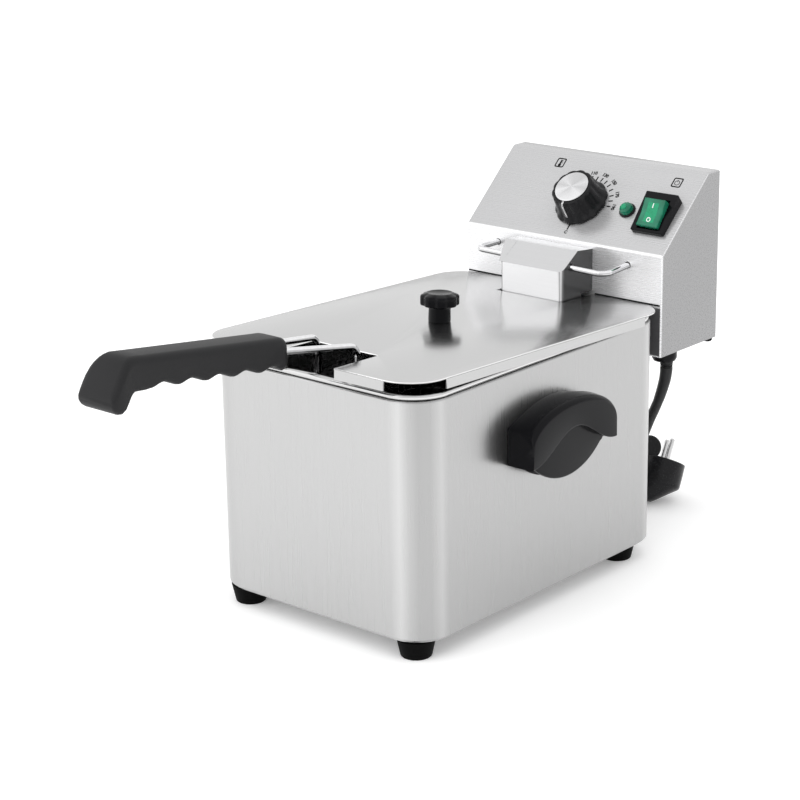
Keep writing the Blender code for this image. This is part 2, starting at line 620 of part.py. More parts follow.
def make_element():
    low, high = ELEMENT_HEIGHT, 0.226
    half = [(0.015, 0.166, high), (0.015, 0.128, high), (0.015, 0.128, low), (0.015, 0.098, low),
            (0.072, 0.098, low), (0.072, -0.110, low), (0.024, -0.110, low), (0.024, 0.066, low)]
    corners = half + [(-x, y, z) for x, y, z in reversed(half)]
    tube("heating_element", rounded_route(corners, 0.0135, 4), ELEMENT_RADIUS, "polished_steel", resolution=2)
    clamp = box((-0.027, 0.1205, 0.150), (0.027, 0.1390, 0.153))
    clamp_piece = mesh_piece("element_clamp", clamp, "steel")
    legs = [rod((x, 0.128, 0.145), (x, 0.128, 0.158), 0.0044, 16) for x in (-0.015, 0.015)]
    cut(clamp_piece, *legs, rod((0.0, 0.128, 0.145), (0.0, 0.128, 0.158), 0.0016, 12))
    mesh_piece("thermostat_bulb", rod((0.0, -0.040, 0.0775), (0.0, 0.050, 0.0775), 0.003, 16), "brass")
    route = [(0.0, 0.0503, 0.0775), (0.0, 0.128, 0.0775), (0.0, 0.128, 0.224), (0.0, 0.180, 0.224),
             (0.0, 0.1955, 0.2455)]
    tube("thermostat_capillary", rounded_route(route, 0.010, 4), 0.0010, "brass", resolution=2)


def make_thermostat():
    body = [(0.0, -0.012), (0.0036, -0.012), (0.0036, -0.0017), (0.0050, -0.0017), (0.0050, -0.0035),
            (0.0190, -0.0035), (0.0200, -0.0045), (0.0200, -0.0240), (0.0, -0.0240)]
    mesh_piece("thermostat_body", turned(body, on_panel(0.0, DIAL_UP), 24), "ceramic")
    centre = on_panel(0.0, DIAL_UP)
    origin = centre.translation
    shaft = [(0.0, -0.0115), (0.0030, -0.0115), (0.0030, 0.0155), (0.0, 0.0155)]
    mesh_piece("thermostat_shaft", turned(shaft, centre, 16), "steel", origin)
    knob = [
        (0.0, 0.0165), (0.0034, 0.0165), (0.0034, 0.0008), (0.0225, 0.0006), (0.0235, 0.0016),
        (0.0228, 0.0036),
        (0.0212, 0.0056), (0.0196, 0.0130), (0.0184, 0.0208), (0.0176, 0.0218), (0.0155, 0.0220),
        (0.0153, 0.0208),
        (0.0, 0.0208),
    ]
    mesh_piece("thermostat_knob", turned(knob, centre, 48, 12, 0.0007), "black_plastic", origin)
    cap = [(0.0, 0.0211), (0.0149, 0.0211), (0.0149, 0.0224), (0.0143, 0.0229), (0.0, 0.0229)]
    mesh_piece("thermostat_knob_cap", turned(cap, centre, 32), "steel", origin)


def make_lamp():
    place = on_panel(LAMP_X, LAMP_UP)
    bezel = [(0.0041, -0.0120), (0.0049, -0.0120), (0.0049, GAP), (0.0072, GAP), (0.0072, 0.0010),
             (0.0066, 0.0016),
             (0.0041, 0.0016), (0.0041, -0.0120)]
    mesh_piece("pilot_lamp_bezel", turned(bezel, place, 24), "black_plastic")
    lens = [(0.0, -0.0100), (0.0037, -0.0100), (0.0037, 0.0019), (0.0060, 0.0019), (0.0060, 0.0034),
            (0.0051, 0.0053),
            (0.0028, 0.0066), (0.0, 0.0068)]
    mesh_piece("pilot_lamp_lens", turned(lens, place, 16), "green_lens")


def make_switch():
    low, high = 0.0180, 0.0545
    frame = side_prism([(low, GAP), (low, 0.0034), (low + 0.0006, 0.0040), (high - 0.0008, 0.0092),
                        (high, 0.0084), (high, GAP)], SWITCH_X - 0.0155, SWITCH_X + 0.0155)
    corners = [edge for edge in frame.edges if abs(edge.verts[0].co.x - edge.verts[1].co.x) < 1e-6
               and abs(edge.verts[0].co.y - edge.verts[1].co.y) < 1e-6]
    bmesh.ops.bevel(frame, geom=corners, offset=0.0012, segments=2, profile=0.5, affect="EDGES")
    frame.transform(PANEL)
    housing = mesh_piece("switch_housing", frame, "black_plastic")
    cut(housing, box((SWITCH_X - 0.0128, 0.0207, -0.018),
                     (SWITCH_X + 0.0128, 0.0516, 0.002), PANEL), operation="UNION")
    pocket = box((SWITCH_X - ROCKER_HALF_WIDTH - 0.0004, 0.0203, -0.0052),
                 (SWITCH_X + ROCKER_HALF_WIDTH + 0.0004, 0.0481, 0.020), PANEL)
    cut(housing, pocket)
    outline = [(-0.0122, 0.0056), (-0.0122, -0.0010), (-0.0090, -0.0030), (0.0090, -0.0030),
               (0.0122, -0.0010),
               (0.0122, 0.0056), (0.0118, 0.0060), (0.0, 0.0050), (-0.0118, 0.0060)]
    rocker = side_prism(outline, -ROCKER_HALF_WIDTH, ROCKER_HALF_WIDTH)
    place = on_panel(SWITCH_X, ROCKER_UP, ROCKER_LIFT)
    rocker.transform(place @ Matrix.Rotation(ROCKER_REST, 4, "X"))
    mesh_piece("switch_rocker", rocker, "green_lens", place.translation)


def make_head_insides():
    block = mesh_piece("terminal_block", box((-0.020, 0.205, 0.170), (0.026, 0.222, 0.184)), "ceramic")
    cut(block, *[rod((x, 0.200, 0.177), (x, 0.23, 0.177), 0.0025, 12) for x in (-0.012, 0.003, 0.018)])
    facing_back = at(RESET_X, 0.0, RESET_Z) @ Matrix.Rotation(math.radians(-90), 4, "X")
    cutout = [(0.0, 0.224), (0.0034, 0.224), (0.0034, 0.2360), (0.0080, 0.2360), (0.0080, 0.221),
              (0.0, 0.221)]
    mesh_piece("overheat_cutout", turned(cutout, facing_back, 20), "ceramic")
    button = [(0.0, 0.228), (0.0030, 0.228), (0.0030, 0.2374), (0.0024, 0.2380), (0.0, 0.2380)]
    mesh_piece("reset_button", turned(button, facing_back, 16), "black_plastic", (RESET_X, 0.2376, RESET_Z))


def cord_route():
    """From the gland, down behind the casing, to the coil's side."""
    return [
        (CORD_X, GLAND_Y, GLAND_END - GAP), (CORD_X, GLAND_Y, 0.1465), (0.0806, 0.1948, 0.1350),
        (0.0722, 0.1983, 0.1140),
        (0.0600, 0.2030, 0.0920), (0.0470, 0.2090, 0.0680), (0.0330, 0.2160, 0.0460),
        (0.0170, 0.2260, 0.0260),
        (0.0000, 0.2430, 0.0125), (-0.0140, 0.2620, 0.0095),
    ]


def plug_frame():
    """Z along the pins, Y across them towards the back."""
    across = REARWARD.cross(PLUG_AXIS).normalized()
    back = PLUG_AXIS.cross(across)
    turn = Matrix((across, back, PLUG_AXIS)).transposed().to_4x4()
    return Matrix.Translation(PLUG_FACE) @ turn


def make_cord():
    gland = [(0.0, GLAND_END), (0.0072, GLAND_END), (0.0100, GLAND_END + 0.0028),
             (0.0105, GLAND_END + 0.0040),
             (0.0105, HEAD_BOTTOM - GAP), (0.0063, HEAD_BOTTOM - GAP), (0.0063, HEAD_BOTTOM + 0.008),
             (0.0, HEAD_BOTTOM + 0.008)]
    mesh_piece("cable_gland", turned(gland, at(GLAND_X, GLAND_Y, 0.0), 24), "black_plastic")
    tube("power_cord", smooth_route(cord_route(), 14), CORD_RADIUS, "black_rubber", resolution=2)
    half = COIL_HALF_SECTION
    ring = [(COIL_RADIUS + half * x, half + half * z) for x, z in
            ((-1, -0.5), (-0.5, -1), (0.5, -1), (1, -0.5), (1, 0.5), (0.5, 1), (-0.5, 1), (-1, 0.5),
             (-1, -0.5))]
    mesh_piece("cord_coil", turned(ring, at(COIL_X, COIL_Y, 0.0), 32), "black_rubber")


def make_plug():
    place = plug_frame()
    rings = []
    for radius, height in ((0.0178, 0.0), (0.0190, -0.0012), (0.0195, -0.0205), (0.0184, -0.0228),
                           (0.0100, -0.0370),
                           (0.0060, -0.0400)):
        lean = min(0.0, radius - 0.0184)
        angles = [math.tau * step / 32 for step in range(32)]
        rings.append([(lean + radius * math.cos(a), radius * math.sin(a), height) for a in angles])
    body = loft(rings)
    body.transform(place)
    plug = mesh_piece("plug_body", body, "black_rubber")
    tab_place = place @ Matrix.Translation((-0.0170, 0.0, 0.0062)) @ Matrix.Rotation(math.radians(90), 4, "X")
    tab = [(0.0, -0.0065), (0.0095, -0.0065), (0.0105, -0.0055), (0.0105, 0.0055), (0.0095, 0.0065),
           (0.0, 0.0065)]
    cut(plug, turned(tab, tab_place, 24), operation="UNION")
    outlet = place @ Matrix.Translation((0.0, 0.0, -0.0150)) @ Matrix.Rotation(math.radians(-90), 4, "Y")
    boot = [(0.0, 0.0), (0.0105, 0.0), (0.0098, 0.0190), (0.0064, 0.0300), (0.0058, 0.0380), (0.0, 0.0380)]
    cut(plug, turned(boot, outlet, 20), operation="UNION")
    bores = []
    for side, label in ((-1, "near"), (1, "far")):
        pin_place = place @ Matrix.Translation((0.0, side * 0.0095, 0.0))
        pin = [(0.0, -0.0050), (0.0024, -0.0050), (0.0024, 0.0175), (0.0016, 0.0188), (0.0, 0.0190)]
        mesh_piece("plug_pin_" + label, turned(pin, pin_place, 12), "polished_steel")
        bores.append(turned([(0.0, -0.0056), (0.0028, -0.0056), (0.0028, 0.002),
                             (0.0, 0.002)], pin_place, 12))
    cut(plug, *bores)
    end = outlet @ Vector((0.0, 0.0, 0.0386))
    away = (outlet.to_3x3() @ Vector((0.0, 0.0, 1.0))).normalized()
    route = [end, end + 0.010 * away, (-0.0095, 0.2175, 0.0270)]
    tube("cord_tail", smooth_route(route, 9), CORD_RADIUS, "black_rubber", resolution=2)


def build():
    clear_scene()
    frame = bpy.data.objects.new("fryer_frame", None)
    bpy.context.scene.collection.objects.link(frame)
    frame.location = (0.0, CENTRING, 0.0)
    for make in (make_casing, make_base, make_side_handles, make_bracket, make_pan, make_head, make_head_covers,
                 make_bridge, make_element, make_thermostat, make_lamp, make_switch, make_head_insides, make_cord,
                 make_plug, make_lid, make_basket, make_grip):
        make()
    bpy.context.view_layer.update()


build()
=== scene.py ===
"""Visual model of a countertop deep fryer over its jointed frame. Metres, +Z up, front towards -Y."""

import math

import bmesh
import bpy
from mathutils import Matrix, Vector


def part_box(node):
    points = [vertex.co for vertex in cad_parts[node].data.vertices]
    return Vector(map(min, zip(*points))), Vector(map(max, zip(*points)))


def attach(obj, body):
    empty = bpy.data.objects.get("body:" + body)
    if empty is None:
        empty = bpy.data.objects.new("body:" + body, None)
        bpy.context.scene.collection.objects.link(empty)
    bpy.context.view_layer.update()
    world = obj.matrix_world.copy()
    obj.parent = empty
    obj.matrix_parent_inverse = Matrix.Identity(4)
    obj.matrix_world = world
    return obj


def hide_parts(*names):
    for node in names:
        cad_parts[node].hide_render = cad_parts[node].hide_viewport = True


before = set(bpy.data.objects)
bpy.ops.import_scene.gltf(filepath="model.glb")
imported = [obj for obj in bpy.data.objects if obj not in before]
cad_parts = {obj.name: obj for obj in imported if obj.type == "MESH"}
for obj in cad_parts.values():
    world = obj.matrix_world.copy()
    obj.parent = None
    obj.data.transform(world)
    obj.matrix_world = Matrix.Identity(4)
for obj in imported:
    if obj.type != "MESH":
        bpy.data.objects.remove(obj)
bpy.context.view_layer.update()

# Shapes are drawn about the casing's middle, and CENTRE moves each of them to the frame's own origin.
casing_low, casing_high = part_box("outer_casing")
CENTRE = Matrix.Translation((0, (casing_low[1] + casing_high[1]) / 2, 0))
GAP = 0.0003
SHEET = 0.0012
CASING_WIDTH = casing_high[0] - casing_low[0]
CASING_DEPTH = casing_high[1] - casing_low[1]
CASING_CORNER = 0.031
CASING_BOTTOM = casing_low[2]
CASING_TOP = casing_high[2]
FOOT_X = 0.086
FOOT_FRONT_Y = -0.134
FOOT_REAR_Y = 0.121
PAN_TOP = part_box("oil_pan")[1][2]
PAN_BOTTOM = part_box("oil_pan")[0][2]
PAN_WALL = 0.008
LID_TILT = math.atan(0.0343)
LID_HALF_WIDTH = 0.1099
LID_FRONT = -0.159
LID_REAR = 0.1573
LID_CORNER = 0.03
LID_SKIRT = 0.0075
LID_SHEET = 0.001
LID_FRONT_NOTCH = 0.033
LID_REAR_NOTCH = 0.034
LID_NOTCH_END = 0.1147
LID_FRONT_SKIRT_END = 0.0805
LID_SIDE_SKIRT_END = 0.123
HEAD_HALF_WIDTH = 0.101
HEAD_FRONT = 0.1578
HEAD_REAR = 0.2381
HEAD_BOTTOM = 0.165
HEAD_FOLD = 0.2497
HEAD_TOP = 0.3073
HEAD_RIDGE = 0.2219
BRIDGE_FRONT = 0.1155
BRIDGE_HALF_WIDTH = 0.032
RAIL_Y = 0.129
RAIL_Z = 0.2377
RAIL_X = 0.067
RAIL_RADIUS = 0.0025
DIAL_UP = 0.0378
LAMP_X = 0.0465
LAMP_UP = 0.0375
SWITCH_X = 0.0767
SIGN_LEFT_X = -0.043
SIGN_RIGHT_X = 0.0775
PRINT = 0.00008
RELIEF_DEPTH = 0.0001
ROCKER_HALF_WIDTH = 0.0101
ROCKER_UP = 0.0345
ROCKER_LIFT = 0.0048
ROCKER_REST = math.radians(16)
BASKET_HALF_WIDTH = 0.091
BASKET_FRONT = -0.126
BASKET_REAR = 0.088
BASKET_BOTTOM = 0.086
BASKET_TOP = 0.1897
ROD_RADIUS = 0.0025
GRIP_HALF_WIDTH = 0.015
HANDLE_HALF_LENGTH = 0.0525
HANDLE_REACH = 0.025
APRON_REACH = 0.0175
APRON_RADIUS = 0.0584
APRON_MIDDLE = 0.171
CORD_RADIUS = 0.0043
GLAND_X = 0.08
CORD_X = 0.0822
GLAND_Y = 0.194
GLAND_END = 0.1508
RELIEF_LENGTH = 0.04
COIL_X = -0.072
COIL_Y = 0.235
COIL_RADIUS = 0.05
COIL_TURNS = 4
BOOT_LENGTH = 0.038
PLUG_FACE = Vector((0.036, 0.262, 0.0355))
RIGHTWARD = Vector((0.753, 0.658, 0))
REARWARD = Vector((-0.658, 0.753, 0))
PLUG_AXIS = (0.3 * RIGHTWARD + 0.38 * REARWARD + Vector((0, 0, 0.87))).normalized()
PANEL_ANGLE = math.atan2(HEAD_TOP - HEAD_FOLD, HEAD_RIDGE - HEAD_FRONT)
PANEL = Matrix.Translation((0, HEAD_FRONT, HEAD_FOLD)) @ Matrix.Rotation(PANEL_ANGLE, 4, "X")
LID = Matrix.Translation((0, -0.0007, 0.21395)) @ Matrix.Rotation(-LID_TILT, 4, "X")


def at(x, y, z):
    return Matrix.Translation((x, y, z))


def on_panel(x, up, lift=0):
    """A place on the sloping panel: x sideways, up its slope, and lift away from it."""
    return PANEL @ at(x, up, lift)


def place_object(name, data):
    placed = bpy.data.objects.new(name, data)
    bpy.context.scene.collection.objects.link(placed)
    return placed


def graded(tree, source, stops):
    """The colour that stops of (position, colour) give a value."""
    ramp = tree.nodes.new("ShaderNodeValToRGB")
    elements = ramp.color_ramp.elements
    while len(elements) < len(stops):
        elements.new(0.5)
    for element, (position, colour) in zip(elements, stops):
        element.position = position
        element.color = (*colour, 1.0)
    tree.links.new(source, ramp.inputs["Fac"])
    return ramp.outputs["Color"]


# Camera, floor and light

def make_camera():
    """A long lens from the front right, a little above the lid."""
    data = bpy.data.cameras.new("camera")
    data.sensor_width = 36.0
    data.lens = 102.28
    data.clip_end = 50.0
    camera = place_object("camera", data)
    turn = Matrix.Rotation(math.radians(41.11), 4, "Z") @ Matrix.Rotation(math.radians(90 - 17.53), 4, "X")
    roll = Matrix.Rotation(math.radians(-0.95), 4, "Z")
    camera.matrix_world = at(1.1047, -1.255, 0.692) @ turn @ roll
    bpy.context.scene.camera = camera


def make_floor():
    shape = bmesh.new()
    bmesh.ops.create_grid(shape, x_segments=1, y_segments=1, size=20.0)
    data = bpy.data.meshes.new("floor")
    shape.to_mesh(data)
    shape.free()
    floor = place_object("floor", data)
    paint = plain_material("floor_paint", (0.97, 0.97, 0.97), 0, 0.9)
    sockets = paint.node_tree.nodes["Principled BSDF"].inputs
    sockets["Specular IOR Level"].default_value = 0
    sockets["Emission Color"].default_value = (1.0, 1.0, 1.0, 1.0)
    sockets["Emission Strength"].default_value = 0.16
    data.materials.append(paint)


def make_light():
    """An even white studio, brighter towards the front left, with one wide soft lamp above."""
    world = bpy.data.worlds.new("studio")
    world.use_nodes = True
    nodes, links = world.node_tree.nodes, world.node_tree.links
    where = nodes.new("ShaderNodeTexCoord")
    towards = nodes.new("ShaderNodeVectorMath")
    towards.operation = "DOT_PRODUCT"
    towards.inputs[1].default_value = Vector((-0.62, -0.72, 0.31)).normalized()
    links.new(where.outputs["Generated"], towards.inputs[0])
    sky = graded(world.node_tree, towards.outputs["Value"], [(0.7, (0.95,) * 3), (0.93, (1.52,) * 3)])
    links.new(sky, nodes["Background"].inputs["Color"])
    bpy.context.scene.world = world
    bpy.context.scene.view_settings.view_transform = "Standard"
    data = bpy.data.lights.new("softbox", "SUN")
    data.energy = 0.8
    data.angle = math.radians(70)
    lamp = place_object("softbox", data)
    lamp.rotation_euler = (math.radians(28), math.radians(12), 0)
    lamp.visible_glossy = False


# Materials

def plain_material(name, colour, metallic, roughness):
    """A material of one even colour."""
    made = bpy.data.materials.new(name)
    made.use_nodes = True
    sockets = made.node_tree.nodes["Principled BSDF"].inputs
    sockets["Base Color"].default_value = (*colour, 1.0)
    sockets["Metallic"].default_value = metallic
    sockets["Roughness"].default_value = roughness
    return made


def toned(made, tint, source, reach, stops):
    """Multiplies a tint by the grey that stops of (position, tone) give a value from -reach to reach."""
    nodes, links = made.node_tree.nodes, made.node_tree.links
    span = nodes.new("ShaderNodeMapRange")
    span.inputs["From Min"].default_value = -reach
    span.inputs["From Max"].default_value = reach
    links.new(source, span.inputs["Value"])
    greys = graded(made.node_tree, span.outputs["Result"], [(place, (tone,) * 3) for place, tone in stops])
    product = nodes.new("ShaderNodeVectorMath")
    product.operation = "MULTIPLY"
    links.new(tint, product.inputs[0])
    links.new(greys, product.inputs[1])
    return product.outputs["Vector"]


def compass_angle(made, parts):
    """The angle about Z of a vector split into parts."""
    angle = made.node_tree.nodes.new("ShaderNodeMath")
    angle.operation = "ARCTAN2"
    made.node_tree.links.new(parts.outputs["Y"], angle.inputs[0])
    made.node_tree.links.new(parts.outputs["X"], angle.inputs[1])
    return angle.outputs["Value"]


def grained(name, colour, metallic, roughness, grain, spread=0.06, tone=0.05, bump=0.02, across=None,
            upward=None, around=None, shine=0.5, ior=1.5):
    """A material whose tone, roughness and relief follow a noise, stretched where grain holds three scales.

    across, upward and around paint light and shade into the tone by the way a surface faces: by the sideways part
    of its normal, by the upward part, and by its compass angle in degrees, where 0 faces right and -90 the front.
    """
    made = plain_material(name, colour, metallic, roughness)
    nodes, links = made.node_tree.nodes, made.node_tree.links
    shader = nodes["Principled BSDF"]
    where = nodes.new("ShaderNodeTexCoord")
    mapping = nodes.new("ShaderNodeMapping")
    mapping.inputs["Scale"].default_value = grain if isinstance(grain, tuple) else (grain, grain, grain)
    noise = nodes.new("ShaderNodeTexNoise")
    noise.inputs["Scale"].default_value = 1.0
    noise.inputs["Detail"].default_value = 4.0
    links.new(where.outputs["Object"], mapping.inputs["Vector"])
    links.new(mapping.outputs["Vector"], noise.inputs["Vector"])
    rough = nodes.new("ShaderNodeMapRange")
    rough.inputs["To Min"].default_value = max(roughness - spread, 0.02)
    rough.inputs["To Max"].default_value = roughness + spread
    links.new(noise.outputs["Fac"], rough.inputs["Value"])
    links.new(rough.outputs["Result"], shader.inputs["Roughness"])
    dark = [part * (1 - tone) for part in colour]
    pale = [min(part * (1 + tone), 1.0) for part in colour]
    tint = graded(made.node_tree, noise.outputs["Fac"], [(0.3, dark), (0.7, pale)])
    # Painted light and shade: tones chosen by the way the surface faces, not colour of the steel itself.
    facing = nodes.new("ShaderNodeSeparateXYZ")
    links.new(where.outputs["Normal"], facing.inputs["Vector"])
    if across:
        tint = toned(made, tint, facing.outputs["X"], 1.0, across)
    if upward:
        tint = toned(made, tint, facing.outputs["Z"], 1.0, upward)
    if around:
        stops = [((degrees + 180) / 360, tone) for degrees, tone in around]
        tint = toned(made, tint, compass_angle(made, facing), math.pi, stops)
    links.new(tint, shader.inputs["Base Color"])
    relief = nodes.new("ShaderNodeBump")
    relief.inputs["Strength"].default_value = bump
    relief.inputs["Distance"].default_value = RELIEF_DEPTH
    links.new(noise.outputs["Fac"], relief.inputs["Height"])
    links.new(relief.outputs["Normal"], shader.inputs["Normal"])
    shader.inputs["Specular IOR Level"].default_value = shine
    shader.inputs["IOR"].default_value = ior
    return made


def spun_disc():
    """Turned aluminium: two soft fans of painted highlight across fine rings about the dial's middle."""
    made = grained("turned_disc", (0.8, 0.8, 0.81), 1.0, 0.26, 60.0, spread=0.03, tone=0.02, bump=0.08)
    nodes, links = made.node_tree.nodes, made.node_tree.links
    shader = nodes["Principled BSDF"]
    where = nodes.new("ShaderNodeTexCoord")
    local = nodes.new("ShaderNodeMapping")
    local.vector_type = "TEXTURE"
    middle = CENTRE @ on_panel(0, DIAL_UP)
    local.inputs["Location"].default_value = middle.to_translation()
    local.inputs["Rotation"].default_value = middle.to_euler()
    links.new(where.outputs["Object"], local.inputs["Vector"])
    parts = nodes.new("ShaderNodeSeparateXYZ")
    links.new(local.outputs["Vector"], parts.inputs["Vector"])
    # Painted highlights: the tone rises and falls in two fans round the dial's middle.
    fans = [(0, 0.8), (0.08, 1.0), (0.16, 0.78), (0.3, 0.84), (0.42, 1.0), (0.5, 0.8), (0.58, 1.0),
            (0.66, 0.78), (0.8, 0.84), (0.92, 1.0), (1.0, 0.8)]
    tint = toned(made, nodes["Color Ramp"].outputs["Color"], compass_angle(made, parts), math.pi, fans)
    links.new(tint, shader.inputs["Base Color"])
    rings = nodes.new("ShaderNodeTexWave")
    rings.wave_type = "RINGS"
    rings.rings_direction = "Z"
    rings.inputs["Scale"].default_value = 900.0
    links.new(local.outputs["Vector"], rings.inputs["Vector"])
    links.new(rings.outputs["Fac"], nodes["Bump"].inputs["Height"])
    return made


def make_materials():
    lengthwise = (1600.0, 14.0, 1600.0)
    upright = (1400.0, 1400.0, 14.0)
    sideways = (14.0, 1600.0, 1600.0)
    # Painted reflections: light and dark bands round the casing's corners, chosen by compass angle.
    casing_painted_bands = [(-180, 0.7), (-168, 0.86), (-150, 0.74), (-110, 0.84), (-90, 0.92), (-73, 1.08), (-60, 0.86),
             (-47, 0.74), (-30, 0.75), (-13, 0.93), (0, 0.8), (14, 0.88), (40, 0.72), (90, 0.8), (180, 0.7)]
    # Painted shade: the head's sides darker than its front, with a lighter band near each edge.
    head_side_painted_shade = [(0, 0.36), (0.1, 0.7), (0.5, 1.0), (0.88, 0.92), (0.96, 0.5), (1.0, 0.36)]
    # Painted light: a highlight along the head's fold, and its sloping panel darker.
    head_upward_painted_light = [(0.45, 1.05), (0.52, 1.05), (0.62, 1.15), (0.74, 1.1), (0.84, 0.68), (1.0, 0.68)]
    # Painted shade: the bridge's side walls nearly black, with a painted highlight on its rounded edges.
    bridge_side_painted_shade = [(0, 0.12), (0.2, 0.3), (0.4, 1.0), (0.62, 1.0), (0.72, 0.45), (0.82, 1.1),
                    (0.93, 0.26), (1.0, 0.09)]
    # Painted shade: the bridge's sloping top plate darker than its upright front.
    bridge_upward_painted_light = [(0.45, 0.96), (0.55, 1.0), (0.85, 0.7), (0.93, 0.66), (1.0, 0.9)]
    # Painted shade: the head darker where it faces the rear and the left.
    head_back = [(-180, 0.85), (-90, 1.0), (0, 1.0), (45, 0.85), (80, 0.62), (100, 0.62), (180, 0.85)]
    # Painted shade: the pan's walls darker where they face left and rear.
    pan_painted_reflections = [(-180, 0.58), (-120, 0.8), (-60, 0.95), (0, 1.0), (60, 0.84), (90, 0.78), (180, 0.58)]
    # Painted light: a highlight on the lid's rounded edges, darker skirts and a duller top.
    lid_painted_edge_light = [(0.45, 0.5), (0.54, 0.58), (0.72, 1.2), (0.97, 0.9), (1.0, 0.66)]
    return {
        "casing": grained("casing_steel", (0.55, 0.55, 0.55), 1.0, 0.29, upright, tone=0.02, around=casing_painted_bands),
        "lid": grained("lid_steel", (0.92, 0.92, 0.92), 1.0, 0.21, lengthwise, tone=0.02, upward=lid_painted_edge_light),
        "head": grained("head_steel", (0.82, 0.82, 0.83), 0.55, 0.28, sideways, tone=0.01, bump=0.01,
                        across=head_side_painted_shade, upward=head_upward_painted_light, around=head_back),
        "bridge": grained("bridge_steel", (0.9, 0.9, 0.91), 0.5, 0.2, sideways, spread=0.04, tone=0.02,
                          across=bridge_side_painted_shade, upward=bridge_upward_painted_light),
        "pan": grained("pan_steel", (0.66, 0.66, 0.66), 1.0, 0.14, upright, spread=0.04, tone=0.03,
                       around=pan_painted_reflections),
        # Painted light and shade on the wires: dark undersides, bright bands towards the top.
        "wire": grained("bright_wire", (0.78, 0.78, 0.79), 1.0, 0.07, 300.0, spread=0.03,
                        upward=[(0, 0.25), (0.35, 0.3), (0.48, 0.95), (0.6, 0.55), (0.75, 1.2), (1.0, 1.1)]),
        "fixing": grained("plated_fixing", (0.66, 0.66, 0.66), 1.0, 0.25, 900.0, bump=0.08),
        "element": grained("element_sheath", (0.36, 0.35, 0.33), 1.0, 0.34, 500.0, tone=0.15, bump=0.08),
        "grip": grained("black_grip", (0.014, 0.014, 0.015), 0, 0.48, 900.0, bump=0.04, tone=0.1, shine=0.2),
        "plastic": grained("black_bakelite", (0.002, 0.002, 0.003), 0, 0.2, 900.0, tone=0.1, shine=0.15),
        "gloss": grained("black_gloss", (0.01, 0.01, 0.011), 0, 0.26, 700.0, tone=0.08, shine=0.18),
        "rubber": grained("foot_rubber", (0.0015, 0.0015, 0.0015), 0, 0.62, 1200.0, bump=0.1, shine=0.06),
        "sleeve": grained("cord_sleeve", (0.015, 0.015, 0.016), 0, 0.45, 900.0, bump=0.06, shine=0.28),
        "disc": spun_disc(),
        # Painted shade for the gap between casing and head.
        "dark": grained("gap_shade_paint", (0.08, 0.08, 0.083), 0, 0.45, 500.0, bump=0.04, shine=0.2),
        "lens": grained("green_lens", (0.012, 0.17, 0.095), 0, 0.1, 120.0, tone=0.25, ior=1.49, shine=0.4),
        "glow": grained("green_window", (0.014, 0.28, 0.135), 0, 0.28, 400.0, tone=0.08, bump=0.03, shine=0.3),
        "ink": grained("black_ink", (0.004, 0.004, 0.004), 0, 0.5, 2000.0, shine=0.1),
        "paint": grained("white_paint", (0.85, 0.85, 0.85), 0, 0.4, 2000.0, tone=0.02),
        "brass": grained("bulb_copper", (0.7, 0.45, 0.28), 1.0, 0.3, 600.0, tone=0.1, bump=0.08),
        "ceramic": grained("insulator", (0.72, 0.7, 0.64), 0, 0.6, 500.0, bump=0.1),
    }


# Modelling helpers

def face_outwards(shape):
    bmesh.ops.recalc_face_normals(shape, faces=shape.faces)
    if shape.calc_volume(signed=True) < 0:
        bmesh.ops.reverse_faces(shape, faces=shape.faces)


def add_piece(name, data, body, finish, *nodes):
    """Puts a mesh or curve in the scene, riding on a body and standing for the given CAD nodes."""
    added = place_object(name, data)
    data.materials.append(materials[finish])
    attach(added, body)
    if nodes:
        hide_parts(*nodes)
    return added


def mesh_of(name, shape, sharp):
    shape.transform(CENTRE)
    data = bpy.data.meshes.new(name)
    shape.to_mesh(data)
    shape.free()
    data.shade_smooth()
    data.set_sharp_from_angle(angle=math.radians(sharp))
    return data


def piece(name, shape, body, finish, *nodes, sharp=35):
    """Makes a bmesh into a smooth-shaded piece that keeps edges sharper than the given angle."""
    face_outwards(shape)
    return add_piece(name, mesh_of(name, shape, sharp), body, finish, *nodes)


def joined(*shapes):
    """One bmesh that holds several closed shapes."""
    whole = bmesh.new()
    for shape in shapes:
        face_outwards(shape)
        passing = bpy.data.meshes.new("passing")
        shape.to_mesh(passing)
        shape.free()
        whole.from_mesh(passing)
        bpy.data.meshes.remove(passing)
    return whole


def carved(shape, *cutters):
    """The shape less its cutters, as a bmesh."""
    objects = []
    for label, part in (("carved_blank", joined(shape)), ("carved_cutter", joined(*cutters))):
        data = bpy.data.meshes.new(label)
        part.to_mesh(data)
        part.free()
        objects.append(place_object(label, data))
    blank, cutter = objects
    boolean = blank.modifiers.new("carve", "BOOLEAN")
    boolean.operation = "DIFFERENCE"
    boolean.object = cutter
    bpy.context.view_layer.update()
    evaluated = blank.evaluated_get(bpy.context.evaluated_depsgraph_get())
    result = bmesh.new()
    result.from_mesh(evaluated.to_mesh())
    evaluated.to_mesh_clear()
    for helper in objects:
        data = helper.data
        bpy.data.objects.remove(helper)
        bpy.data.meshes.remove(data)
    return result


def rounded_rectangle(width, depth, corner, middle_y=0, steps=18):
    """Corner arcs from the rear right one round to the front right one."""
    points = []
    for quarter, (side, end) in enumerate(((1, 1), (-1, 1), (-1, -1), (1, -1))):
        for step in range(steps + 1):
            angle = math.radians(90 * (quarter + step / steps))
            x = side * (width / 2 - corner) + corner * math.cos(angle)
            y = middle_y + end * (depth / 2 - corner) + corner * math.sin(angle)
            points.append((x, y))
    return points


